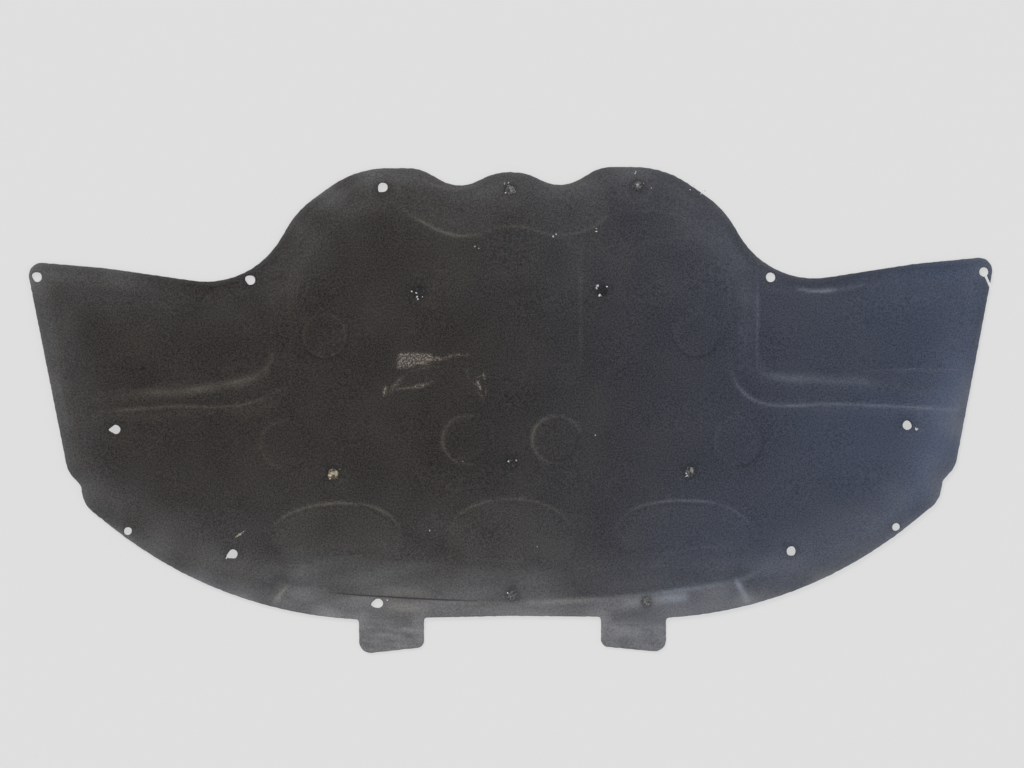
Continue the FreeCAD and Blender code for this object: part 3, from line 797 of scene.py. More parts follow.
# Painted shade at the feet of the round pillows and of the domes, on their shaded side.
FOOT_SHADE = (
    MarkLine(arc(-240.6, 97.1, 31.0, 150, 400), 0.34, 1.7),
    MarkLine(arc(240.6, 97.1, 30.5, 195, 350), 0.5, 1.7),
    MarkLine(arc(58, -39, 28.5, -110, 35), 0.42, 1.7),
    MarkLine(arc(-58, -39, 28.5, -90, 40), 0.26, 1.7),
    MarkLine(arc(-293.8, -42.4, 28, -90, 60), 0.24, 1.7),
    MarkLine(arc(293.8, -42.4, 32.5, -100, 70), 0.28, 1.7),
    MarkLine(((-268, -129), (-222.9, -122.6), (-184, -126.8)), 0.24, 1.7),
    MarkLine(((-28, -121), (0.3, -118.6), (36, -124)), 0.2, 1.7),
    MarkLine(((168, -128.6), (207.8, -122.3), (254, -124)), 0.25, 1.7),
)

CLIPS = (
    Clip(-613.5, 175.4, Damage.TORN, (150, 1.6, 70)),
    Clip(613.5, 175.4, Damage.TORN, (165, 1.2, 60)),
    Clip(-337.0, 170.0, Damage.TORN, (150, 1.8, 60)),
    Clip(337.0, 170.0),
    Clip(-165.0, 289.4, Damage.TORN, (228, 2.2, 40)),
    Clip(165.0, 289.4, Damage.CLOGGED, plug=0.16, bed=0.14,
         flecks=((-3, 16, 1.2), (-2, 18, 1.0), (0, 0.5, 2.9, 0.6), (18, -3, 1.0), (8, 3, 1.2, 0.4),
                 (-12, -1, 1.0, 0.4))),
    Clip(-118.0, 152.8, Damage.CLOGGED, plug=0.05,
         flecks=((-10, 1, 1.3), (-4, -1, 1.5), (-3, -6, 1.9), (-2, -9, 1.5), (4, -6, 0.8))),
    Clip(118.0, 152.8, Damage.CLOGGED, plug=0.0,
         flecks=((-6, 7, 2.9), (-7, 4, 1.5), (7, 6, 1.6), (-3, -5, 1.9), (-1, -6, 1.3), (2, 9, 0.8))),
    Clip(-512.2, -22.6, Damage.TORN, (184, 4.2, 42)),
    Clip(512.2, -22.6, Damage.TORN, (-20, 1.2, 70), flecks=((11, -5, 2.0), (13, -5, 1.4))),
    Clip(-230.8, -81.5, Damage.CLOGGED, plug=0.45, bed=0.12, warm=1.0,
         flecks=((-4, -2, 3.0, 0.75), (4, 0, 3.4, 0.75), (0, 1, 4.0, 0.75), (-4, -6, 1.6, 0.7),
                 (-9, 3, 0.9, 0.7), (9, 6, 0.8, 0.7))),
    Clip(230.8, -81.5, Damage.CLOGGED, plug=0.2, bed=0.1,
         flecks=((-5, -2, 1.4), (-4, -5, 1.4), (-6, -6, 1.0), (2, 2, 3.2, 0.4), (2, 9, 0.9, 0.5))),
    Clip(-497.8, -154.4, Damage.TORN, (30, 1.3, 70)),
    Clip(497.8, -154.4),
    Clip(-361.3, -184.6, Damage.TORN, (206, 4.4, 45), flecks=((-8, -5, 1.3),)),
    Clip(361.3, -184.6, Damage.TORN, (-50, 1.0, 60)),
    Clip(-174.0, -249.9, Damage.TORN, (192, 3.6, 55), flecks=((12, 4, 1.1),)),
    Clip(174.0, -249.9, Damage.CLOGGED, plug=0.06, bed=0.26, flecks=((3, -3, 0.9, 0.6),)),
    Clip(0.0, 285.2, Damage.CLOGGED, plug=0.24, bed=0.16,
         flecks=((-7, 8, 1.2, 0.8), (-2, 9, 1.2, 0.7), (1, 2, 3.2, 0.32), (2, -2, 3.0, 0.32),
                 (-6, -4, 1.3), (7, -3, 1.1, 0.4))),
    Clip(0.0, -69.6, Damage.CLOGGED, plug=0.1, flecks=((-4, 3, 1.6), (6, 4, 1.4))),
    Clip(0.0, -240.2, Damage.CLOGGED, plug=0.12, bed=0.2, flecks=((-6, 3, 1.2),)),
)


@dataclass
class Spots:
    """Points of the skin: plan, depth from the cut edge, height, and rise over the felt around.

    The height and the rise count on the face alone, where `face` is one.
    """

    plan: np.ndarray
    depth: np.ndarray
    face: np.ndarray
    level: np.ndarray
    proud: np.ndarray


@dataclass(frozen=True)
class FlangeDust:
    """Grey road dust on the front flange, on the tabs and fading up the front slope.

    A span is in millimetres. A pair of levels is a share of dust, and what the right side adds.
    """

    crease: tuple[Spot, ...] = (
        (-312, -221), (-217, -237), (-117, -244.5), (0, -249), (117, -244.5), (217, -237),
        (312, -221),
    )
    ends: Span = (270, 330)
    below: Span = (-3.0, 4.0)
    slope: Span = (-80.0, -2.0)
    tab: Span = (266, 284)
    right: Span = (-20, 120)
    thin: Span = (60, 260)
    slope_levels: tuple[float, float] = (0.36, -0.19)
    flange_levels: tuple[float, float] = (0.09, 0.13)
    tab_level: float = 0.1
    thin_level: float = 0.1
    patches: Waves = Waves(26.0, 17)
    patch_level: float = 0.16
    patch_squeeze: tuple[float, float] = (0.3, 1.0)
    streaks: Waves = Waves(9.0, 37)
    streak_level: float = 0.22
    streak_squeeze: tuple[float, float] = (0.25, 1.0)

    def over(self, plan: np.ndarray) -> np.ndarray:
        """Find how dusty each point is.

        Args:
            plan: Places in millimetres.

        Returns:
            One share of dust for each point.
        """
        x, y = plan.T
        past = np.interp(x, *zip(*self.crease)) - y
        middle = 1 - ramp(np.abs(x), *self.ends)
        below = ramp(past, *self.below) * middle
        slope = ramp(past, *self.slope) * middle
        waves = self.patches.over(plan * self.patch_squeeze)
        patchy = 1 + self.patch_level * waves - self.thin_level * ramp(x, *self.thin)
        tab = ramp(-y, *self.tab)
        right = ramp(x, *self.right)
        on_slope, on_flange = (
            level + more * right for level, more in (self.slope_levels, self.flange_levels)
        )
        grey = on_slope * slope + on_flange * below + self.tab_level * tab
        streaks = 1 + self.streak_level * tab * self.streaks.over(plan * self.streak_squeeze)
        return np.clip(grey * patchy * streaks, 0, 1)


@dataclass(frozen=True)
class Wear:
    """How painted cool light, rubbing and painted highlights, dust and painted edge light, paper remains,
    and dirt and painted shade spread over the felt.

    A span gives the depths from the cut edge, heights or places in millimetres between which
    something runs from nought to one. Places count to the right, to the rear or, for a front, forwards.
    """

    flange: FlangeDust = FlangeDust()
    # Painted shade in the fold above the left half of the flange.
    fold_shade: MarkLine = MarkLine(((-236, -235.5), (-198, -239), (-117, -244.3), (-46, -247.6)), 0.95, 1.0)
    # Share of dust and of painted light along the cut edge, by place from left to right, on its rear and
    # front parts.
    rear_rim: tuple[Spot, ...] = (
        (-640, 0.15), (-520, 0.12), (-410, -0.06), (-330, -0.03), (-230, 0.1), (-165, 0.12), (0, 0.1),
        (165, 0.08), (330, 0.0), (450, -0.1), (560, -0.06), (640, 0.04),
    )
    front_rim: tuple[Spot, ...] = (
        (-640, 0.09), (-520, 0.08), (-430, 0.12), (-360, 0.25), (-300, 0.24), (300, 0.25), (420, 0.22),
        (520, 0.15), (640, 0.1),
    )
    rear: Span = (0, 110)
    front: Span = (40, 210)
    rim_depth: Span = (1.0, 8.0)
    lip_depth: Span = (9.0, 17.0)
    band_depth: Span = (8.0, 30.0)
    wide_depth: Span = (5.0, 95.0)
    # Dust: on the rim, the front lip, the band, the wide border, the front and the rear field. On the band
    # and the wide border, also painted light that lifts the shaded slope along the edge.
    rim_dust: float = 0.09
    lip_dust: float = 0.07
    band_dust_and_light: float = 0.8
    wide_dust: float = 0.06
    wide_gain: float = 0.4
    front_dust: float = 0.085
    front_less: float = 0.065
    front_less_side: Span = (0, 150)
    field_dust: float = 0.035
    field_start: Span = (100, 180)
    field_end: Span = (215, 260)
    field_left: Span = (-300, 20)
    field_right: Span = (220, 300)
    dust_waves: Waves = Waves(60.0, 11)
    dust_patchy: float = 0.22
    # Rubbing: on ridges that stand proud and on the crowns of the front pillows. Painted highlights along
    # lines, made patchy by waves.
    ridge_rub: float = 0.03
    ridge_rise: Span = (0.15, 0.9)
    crown_rub: float = 0.02
    crown_level: Span = (16.6, 17.6)
    crown_front: Span = (90, 110)
    highlight_waves: Waves = Waves(45.0, 29)
    highlight_patchy: float = 0.35
    highlight_limits: Span = (0.3, 1.6)
    # Darker in hollows, and dirt round the clogged holes.
    hollow_darkening: float = 0.15
    hollow_drop: Span = (0.2, 1.0)
    hole_dirt: float = 0.35
    hole_reach: Span = (6.0, 14.0)
    # Painted bluish light: over the right half, more at its front, along its edge and below the wing's
    # step.
    painted_cool_light: float = 0.5
    painted_cool_side: Span = (-120, 640)
    front_painted_cool: float = 0.12
    front_painted_cool_side: Span = (60, 260)
    edge_painted_cool: float = 0.15
    edge_painted_cool_front: float = 0.3
    edge_painted_cool_side: Span = (420, 600)
    step_painted_cool: float = 0.08
    step_start: Span = (-30, 10)
    step_end: Span = (50, 110)
    step_side: Span = (300, 400)

    def masks(self, spots: Spots) -> dict[Mask, np.ndarray]:
        """Find all the wear of the skin, with its painted light and shade.

        Args:
            spots: The skin's points.

        Returns:
            One value for each point, by kind of wear and of painted light or shade.
        """
        residue = np.max([line.shade(spots.plan) for line in RESIDUE_LINES], axis=0)
        return {
            Mask.PAINTED_COOL_LIGHT: self.painted_cool_light_of(spots),
            Mask.RUB_AND_HIGHLIGHT: self.rub_and_highlight_of(spots) * spots.face,
            Mask.DUST_AND_LIGHT: self.dust_and_light_of(spots),
            Mask.RESIDUE: residue * spots.face,
            Mask.DIRT_AND_SHADE: self.dirt_and_shade_of(spots),
        }

    def border(self, spots: Spots) -> np.ndarray:
        """Wide border along the cut edge."""
        return 1 - ramp(spots.depth, *self.wide_depth)

    def dust_and_light_of(self, spots: Spots) -> np.ndarray:
        """Find the dust, with painted light along the edge: by the edge, over the front, on the rear field
        and on the flange.

        Args:
            spots: The skin's points.

        Returns:
            One share for each point.
        """
        x, y = spots.plan.T
        rear = ramp(y, *self.rear)
        rim = 1 - ramp(spots.depth, *self.rim_depth)
        band = 1 - ramp(spots.depth, *self.band_depth)
        lip = (1 - ramp(spots.depth, *self.lip_depth)) * (1 - rear)
        behind, before = (np.interp(x, *zip(*side)) for side in (self.rear_rim, self.front_rim))
        share = rear * behind + (1 - rear) * before
        # The band and the wide border carry dust together with painted light that lifts the shaded slope
        # along the edge.
        dust_and_light = self.rim_dust * rim + self.lip_dust * lip + self.band_dust_and_light * share * band
        dust_and_light += (self.wide_dust + self.wide_gain * share) * self.border(spots)
        less = self.front_less * ramp(x, *self.front_less_side)
        dust_and_light += (self.front_dust - less) * ramp(-y, *self.front)
        back = ramp(y, *self.field_start) * (1 - ramp(y, *self.field_end))
        across = ramp(x, *self.field_left) * (1 - ramp(x, *self.field_right))
        dust_and_light += self.field_dust * back * across
        patches = 1 + self.dust_patchy * self.dust_waves.over(spots.plan)
        return np.maximum(np.clip(dust_and_light * patches, 0, 1), self.flange.over(spots.plan))

    def rub_and_highlight_of(self, spots: Spots) -> np.ndarray:
        """Find the rubbing on ridges and crowns, and the painted highlights along lines.

        Args:
            spots: The skin's points.

        Returns:
            One share for each point.
        """
        crowned = ramp(spots.level, *self.crown_level) * ramp(-spots.plan[:, 1], *self.crown_front)
        rub_and_highlight = self.ridge_rub * ramp(spots.proud, *self.ridge_rise) + self.crown_rub * crowned
        patchy = np.clip(1 + self.highlight_patchy * self.highlight_waves.over(spots.plan), *self.highlight_limits)
        # Painted highlights along the drawn lines.
        for line in (*FINE_HIGHLIGHTS, *BROAD_HIGHLIGHTS, *PILLOW_HIGHLIGHTS):
            rub_and_highlight = np.maximum(rub_and_highlight, line.shade(spots.plan) * patchy)
        return rub_and_highlight

    def dirt_and_shade_of(self, spots: Spots) -> np.ndarray:
        """Find the dirt and shade: darker in hollows, dirt round clogged holes, and painted shade at the
        pillows' feet and in the fold.

        Args:
            spots: The skin's points.

        Returns:
            One share for each point.
        """
        # Darker in hollows that lie below the felt around.
        dirt_and_shade = self.hollow_darkening * ramp(-spots.proud, *self.hollow_drop)
        for clip in CLIPS:
            if clip.state is Damage.CLOGGED:
                ring = 1 - ramp(clip.away(spots.plan), *self.hole_reach)
                dirt_and_shade = np.maximum(dirt_and_shade, self.hole_dirt * ring)
        # Painted shade at the feet of the pillows and domes, and in the fold.
        for line in (*FOOT_SHADE, self.fold_shade):
            dirt_and_shade = np.maximum(dirt_and_shade, line.shade(spots.plan))
        return dirt_and_shade

    def painted_cool_light_of(self, spots: Spots) -> np.ndarray:
        """Find the painted bluish light on the right.

        Args:
            spots: The skin's points.

        Returns:
            One share for each point.
        """
        x, y = spots.plan.T
        # Painted bluish light, growing to the right, at the front, along the right edge and below the
        # wing's step.
        painted_cool_light = self.painted_cool_light * ramp(x, *self.painted_cool_side)
        painted_cool_light += self.front_painted_cool * ramp(x, *self.front_painted_cool_side) * ramp(-y, *self.front)
        edge = self.edge_painted_cool + self.edge_painted_cool_front * (1 - ramp(y, *self.rear))
        painted_cool_light += ramp(x, *self.edge_painted_cool_side) * self.border(spots) * edge
        step = ramp(-y, *self.step_start) * (1 - ramp(-y, *self.step_end))
        return painted_cool_light + self.step_painted_cool * ramp(x, *self.step_side) * step


@dataclass
class FeltPad:
    """The pressed felt pad as a dense skin over the plan of its solid."""

    name: str = "felt_pad"
    fill_share: float = 0.5
    # Lattices of the face and the back, and how far they stay from the edge, in lattice steps.
    step_mm: float = 3.15
    back_step_mm: float = 15.0
    edge_steps: float = 0.62
    # Rounded cut edges: radius on the face and on the back, and the turn of each row.
    round_mm: float = 1.3
    back_round_mm: float = 0.6
    round_turns: tuple[float, ...] = (35, 65, 90)
    # Shares of the radius that narrow felt may keep.
    round_shares: tuple[float, ...] = (1.0, 0.75, 0.5, 0.3, 0.15)
    # Waviness of the knife's cut, and how sharply a tear comes to its point.
    cut_mm: float = 0.35
    cut_wave_mm: float = 9.0
    cut_seed: int = 40
    tear_power: float = 1.5
    # Rows beside each thin line, and the lattice that they clear.
    row_offsets_mm: tuple[float, ...] = (-1.5, 0.0, 1.5)
    row_clear_mm: float = 2.6
    row_margin_mm: float = 4.0
    row_edge_mm: float = 1.0
    # Clip seats of the field: reach, ring around, least way from the edge, and spring back.
    seat_mm: float = 22.0
    seat_ring_mm: Span = (19, 25)
    inland_mm: float = 25.0
    field_mm: float = 14.0
    spring_back: float = 0.6
    # Softened creases, lumps and sag, which grow with the depth from the edge.
    soft_passes: int = 9
    soft_share: float = 0.6
    free_depth: Span = (1.5, 14)
    lump_mm: float = 0.1
    lumps: Waves = Waves(11.0, 3)
    sag_mm: float = 0.5
    sags: Waves = Waves(120.0, 5)
    # Creases that handling left, two on the right half and two on the wing: course, width, rise.
    creases: tuple[tuple[tuple[Spot, ...], float, float], ...] = (
        (((91, 205), (88, 120), (90, 50)), 5.0, 0.7),
        (((100, 222), (200, 221), (232, 232)), 4.0, -0.6),
        (((372, 152), (398, 150), (452, 158)), 5.0, 1.1),
        (((372, 160), (400, 157), (452, 164)), 4.0, -0.8),
    )
    # Smoothing that gives the felt around a point, to tell what stands proud of it.
    broad_passes: int = 26
    broad_share: float = 0.7
    wear: Wear = Wear()
    plan: Plan = field(default_factory=Plan)
    solid: SolidFace = field(init=False)
    edges: kdtree.KDTree = field(init=False)
    outer: kdtree.KDTree = field(init=False)
    face: kdtree.KDTree = field(init=False)
    pairs: np.ndarray = field(init=False)
    heights: np.ndarray = field(init=False)

    def build(self, solid: bpy.types.Object) -> bpy.types.Object:
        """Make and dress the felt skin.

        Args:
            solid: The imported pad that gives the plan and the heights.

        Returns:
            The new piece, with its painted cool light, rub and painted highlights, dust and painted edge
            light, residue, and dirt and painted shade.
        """
        self.plan.read(solid)
        self.solid = SolidFace(solid)
        rings = [self.ragged(loop, index) for index, loop in enumerate(self.plan.loops)]
        self.edges = as_tree(np.concatenate(rings))
        self.outer = as_tree(rings[0])
        rounds = self.roundings(rings)
        brim, sole = (
            [ring - outward(ring) * np.minimum(radii, most)[:, None] for ring, radii in zip(rings, rounds)]
            for most in (self.round_mm, self.back_round_mm)
        )
        face_xy, face_tris, brim_ids = self.fill(brim, self.step_mm)
        self.set_heights(face_xy, face_tris, np.concatenate(brim_ids))
        back_xy, back_tris, sole_ids = self.fill(sole, self.back_step_mm)
        back_start = len(face_xy)
        flat = np.zeros(len(back_xy))
        verts = [np.column_stack((face_xy, self.heights)), np.column_stack((back_xy, flat))]
        tris = [face_tris, back_tris[:, ::-1] + back_start]
        count = back_start + len(back_xy)
        for ring, radii, top_ids, low_ids in zip(rings, rounds, brim_ids, sole_ids):
            brink = np.column_stack((ring, self.heights[top_ids], radii))
            walls, wall_tris = self.wall(brink, top_ids, low_ids + back_start, count)
            verts.append(walls)
            tris.append(wall_tris)
            count += len(walls)
        places = np.concatenate(verts)
        masks = self.wear.masks(self.spots(places[:, :2]))
        pad = new_piece(self.name, places, np.concatenate(tris), masks)
        pad.data.materials.append(FeltFinish().build())
        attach(pad, BODY)
        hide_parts(NODE)
        return pad

    def level(self, x: float, y: float) -> float:
        """Height of the finished face at its nearest point."""
        return self.heights[self.face.find((x, y, 0))[1]]

    def ragged(self, loop: np.ndarray, index: int) -> np.ndarray:
        """Roughen a cut edge a little, as a knife leaves felt, and pull torn holes open.

        Args:
            loop: The clean edge or hole.
            index: Its number, where nought is the edge.

        Returns:
            The loop as it was cut and torn.
        """
        cut = self.cut_mm * (1 + Waves(self.cut_wave_mm, self.cut_seed + index).over(loop)) / 2
        ring = loop - outward(loop) * cut[:, None]
        if index == 0:
            return ring
        middle = loop.mean(0)
        clip = min(CLIPS, key=lambda c: math.hypot(c.x - middle[0], c.y - middle[1]))
        way, reach, spread = clip.tear
        arm = ring - middle
        off = np.degrees(np.arctan2(arm[:, 1], arm[:, 0])) - way
        off = np.abs((off + 180) % 360 - 180)
        pull = reach * np.maximum(0, 1 - off / spread) ** self.tear_power
        length = np.linalg.norm(arm, axis=1)
        return middle + arm * ((length + pull) / length)[:, None]

    def roundings(self, rings: list[np.ndarray]) -> list[np.ndarray]:
        """Radius of the rounded edge at each of its points, less where the felt is narrow.

        Args:
            rings: All the cut edges.

        Returns:
            For each ring, one radius for each point.
        """
        steps = np.arange(0, 1, 0.1)
        close = [ring + step * (np.roll(ring, -1, 0) - ring) for ring in rings for step in steps]
        cuts = as_tree(np.concatenate(close))
        rounds = []
        for ring in rings:
            radii = np.zeros(len(ring))
            for index, (place, way) in enumerate(zip(ring, outward(ring))):
                for share in self.round_shares:
                    radii[index] = share * self.round_mm
                    x, y = place - way * 2 * radii[index]
                    if cuts.find((x, y, 0))[2] > radii[index]:
                        break
            rounds.append(radii)
        return rounds

    def fill(self, rings: list[np.ndarray], step: float) -> tuple[np.ndarray, np.ndarray, list]:
        """Triangulate the plan inside its rings with an even lattice of points.

        Args:
            rings: The edge first, then the holes.
            step: Lattice spacing in millimetres.

        Returns:
            Points, triangles, and for each ring the numbers of its points.
        """
        low, high = rings[0].min(0), rings[0].max(0)
        row = step * math.sqrt(3) / 2
        clear = self.round_mm + self.edge_steps * step
        inside = []
        for number, y in enumerate(np.arange(low[1], high[1], row)):
            for x in np.arange(low[0] + (number % 2) * step / 2, high[0], step):
                if self.solid.height(x, y) is not None and self.edges.find((x, y, 0))[2] > clear:
                    inside.append((x, y))
        if step == self.step_mm:
            inside = self.with_lines(np.array(inside))
        points = [Vector(p) for p in (*np.concatenate(rings), *inside)]
        sides, spans, start = [], [], 0
        for ring in rings:
            last = start + len(ring)
            spans.append(range(start, last))
            sides += [(i, i + 1 if i + 1 < last else start) for i in spans[-1]]
            start = last
        # Kind two keeps the faces inside the edge and outside the holes.
        verts, _, faces, origin, *_ = geometry.delaunay_2d_cdt(points, sides, [], 2, 1e-5)
        table = {old: new for new, olds in enumerate(origin) for old in olds}
        ids = [np.array([table[i] for i in span]) for span in spans]
        tris = np.array([tuple(face) for face in faces])
        xy = np.array([tuple(v) for v in verts])
        # Faces left across a hole have all their corners on its ring and their middle inside it.
        owner = np.zeros(len(xy), int)
        keep = np.ones(len(tris), bool)
        for number, ring_ids in enumerate(ids):
            owner[ring_ids] = number
        for number, ring in enumerate(rings[1:], 1):
            mine = np.flatnonzero((owner[tris] == number).all(1))
            keep[mine] = ~within(xy[tris[mine]].mean(1), ring)
        tris = tris[keep]
        corner = xy[tris]
        spin = np.cross(corner[:, 1] - corner[:, 0], corner[:, 2] - corner[:, 0])
        tris[spin < 0] = tris[spin < 0][:, ::-1]
        return xy, tris, ids

    def with_lines(self, inside: np.ndarray) -> np.ndarray:
        """Add close rows of points along the thin lines and the fold's painted shade, so that they stay
        thin.

        Args:
            inside: The even lattice.

        Returns:
            The lattice, cleared beside the lines, and the rows.
        """
        rows = []
        for line in (*FINE_HIGHLIGHTS, *PILLOW_HIGHLIGHTS, *FOOT_SHADE, *RESIDUE_LINES, self.wear.fold_shade):
            run = line.path()
            across = np.gradient(run, axis=0) @ np.array([[0, 1], [-1, 0]])
            across /= np.linalg.norm(across, axis=1, keepdims=True)
            rows += [run + off * across for off in self.row_offsets_mm]
            low, high = run.min(0) - self.row_margin_mm, run.max(0) + self.row_margin_mm
            beside = np.flatnonzero(((inside > low) & (inside < high)).all(1))
            beside = beside[near_line(inside[beside], run) < self.row_clear_mm]
            inside = np.delete(inside, beside, axis=0)
        near = np.concatenate(rows)
        on_felt = np.array([self.solid.height(x, y) is not None for x, y in near])
        clear = gaps(self.edges, near) > self.round_mm + self.row_edge_mm
        return np.concatenate((inside, near[clear & on_felt]))

    def set_heights(self, xy: np.ndarray, tris: np.ndarray, border: np.ndarray) -> None:
        """Set the heights of the felt face: the solid's own, softened, with lumps and wrinkles.

        Args:
            xy: Plan of the face.
            tris: Its triangles.
            border: Numbers of the points along its brim.
        """
        found = [self.solid.height(x, y) for x, y in xy]
        heights = np.array([np.nan if height is None else height for height in found])
        heights[np.isnan(heights)] = np.nanmedian(heights[border])
        sides = np.concatenate((tris[:, [0, 1]], tris[:, [1, 2]], tris[:, [2, 0]]))
        self.pairs = np.unique(np.sort(sides, axis=1), axis=0)
        self.lift_seats(xy, heights)
        rim = heights[border].copy()
        for _ in range(self.soft_passes):
            heights = self.relax(heights, self.soft_share)
            heights[border] = rim
        free = ramp(gaps(self.edges, xy), *self.free_depth)
        heights += free * self.lump_mm * self.lumps.over(xy)
        heights += free * self.sag_mm * self.sags.over(xy)
        heights += free * self.wrinkles(xy)
        self.heights = heights
        self.face = as_tree(xy)

    def lift_seats(self, xy: np.ndarray, heights: np.ndarray) -> None:
        """Let the felt spring back up in the clip seats of the field, where no clip holds it.

        Args:
            xy: Plan of the face.
            heights: Its heights, which are changed.
        """
        near, far = self.seat_ring_mm
        for clip in CLIPS:
            away = clip.away(xy)
            level = np.median(heights[(away > near) & (away < far)])
            low = (away < self.seat_mm) & (heights < level)
            inland = self.outer.find((clip.x, clip.y, 0))[2] > self.inland_mm
            if inland and level > self.field_mm:
                heights[low] += self.spring_back * (level - heights[low])

    def relax(self, values: np.ndarray, share: float) -> np.ndarray:
        """Move each value of the face towards the mean of its neighbours.

        Args:
            values: One value for each point of the face.
            share: How far it moves.

        Returns:
            The moved values.
        """
        a, b = self.pairs[:, 0], self.pairs[:, 1]
        total = np.bincount(a, values[b], len(values)) + np.bincount(b, values[a], len(values))
        number = np.bincount(a, minlength=len(values)) + np.bincount(b, minlength=len(values))
        return values + share * (total / np.maximum(number, 1) - values)

    def wrinkles(self, xy: np.ndarray) -> np.ndarray:
        """Rise of the handling creases at each point.

        Args:
            xy: Plan of the face.

        Returns:
            One rise for each point, in millimetres.
        """
        total = np.zeros(len(xy))
        for course, width, rise in self.creases:
            total += rise * np.exp(-(near_line(xy, np.array(course, float)) / width) ** 2)
        return total

    def wall(self, brink: np.ndarray, top_ids: np.ndarray, low_ids: np.ndarray,
             start: int) -> tuple[np.ndarray, np.ndarray]:
        """Round the cut edge over, from the face's brim down to the back.

        Args:
            brink: Plan of the cut edge, with the face's height and the edge's radius.
            top_ids: Numbers of the brim's points on the face.
            low_ids: Numbers of the points on the back.
            start: Number of the first new point.

        Returns:
            New points and all the triangles of the wall.
        """
        ring, tops, radii = brink[:, :2], brink[:, 2], brink[:, 3]
        normal = outward(ring)
        rows = []
        for turn in np.radians(self.round_turns):
            inward = radii * (1 - math.sin(turn))
            fall = radii * (1 - math.cos(turn))
            rows.append(np.column_stack((ring - normal * inward[:, None], tops - fall)))
        rows.append(np.column_stack((ring, np.full(len(ring), self.back_round_mm))))
        count = len(ring)
        ids = [top_ids]
        ids += [start + count * k + np.arange(count) for k in range(len(rows))]
        ids.append(low_ids)
        tris = []
        for upper, lower in zip(ids, ids[1:]):
            after_u, after_l = np.roll(upper, -1), np.roll(lower, -1)
            tris.append(np.column_stack((upper, lower, after_l)))
            tris.append(np.column_stack((upper, after_l, after_u)))
        return np.concatenate(rows), np.concatenate(tris)

    def spots(self, plan: np.ndarray) -> Spots:
        """Gather what the wear needs to know about the skin's points.

        Args:
            plan: Plan of all the points, those of the face first.

        Returns:
            The points with their depths, heights and rises.
        """
        broad = self.heights.copy()
        for _ in range(self.broad_passes):
            broad = self.relax(broad, self.broad_share)
        rest = np.zeros(len(plan) - len(broad))
        face, level, proud = (
            np.concatenate((values, rest))
            for values in (np.ones(len(broad)), self.heights, self.heights - broad)
        )
        return Spots(plan, gaps(self.outer, plan), face, level, proud)


@dataclass
class Heap:
    """Loose bits gathered into one mesh, each with its own paleness and warmth."""

    places: list[np.ndarray] = field(default_factory=list)
    tris: list[np.ndarray] = field(default_factory=list)
    pale: list[np.ndarray] = field(default_factory=list)
    warm: list[np.ndarray] = field(default_factory=list)
    count: int = 0

    def put(self, points: np.ndarray, tris: np.ndarray, tone: float, warm: float) -> None:
        """Add one bit to the heap.

        Args:
            points: Its points in millimetres.
            tris: Its triangles, numbered from nought.
            tone: Its paleness, from dark nought to pale one.
            warm: How beige its paleness is, from nought to one.
        """
        self.places.append(points)
        self.tris.append(tris + self.count)
        self.pale.append(np.full(len(points), tone))
        self.warm.append(np.full(len(points), warm))
        self.count += len(points)


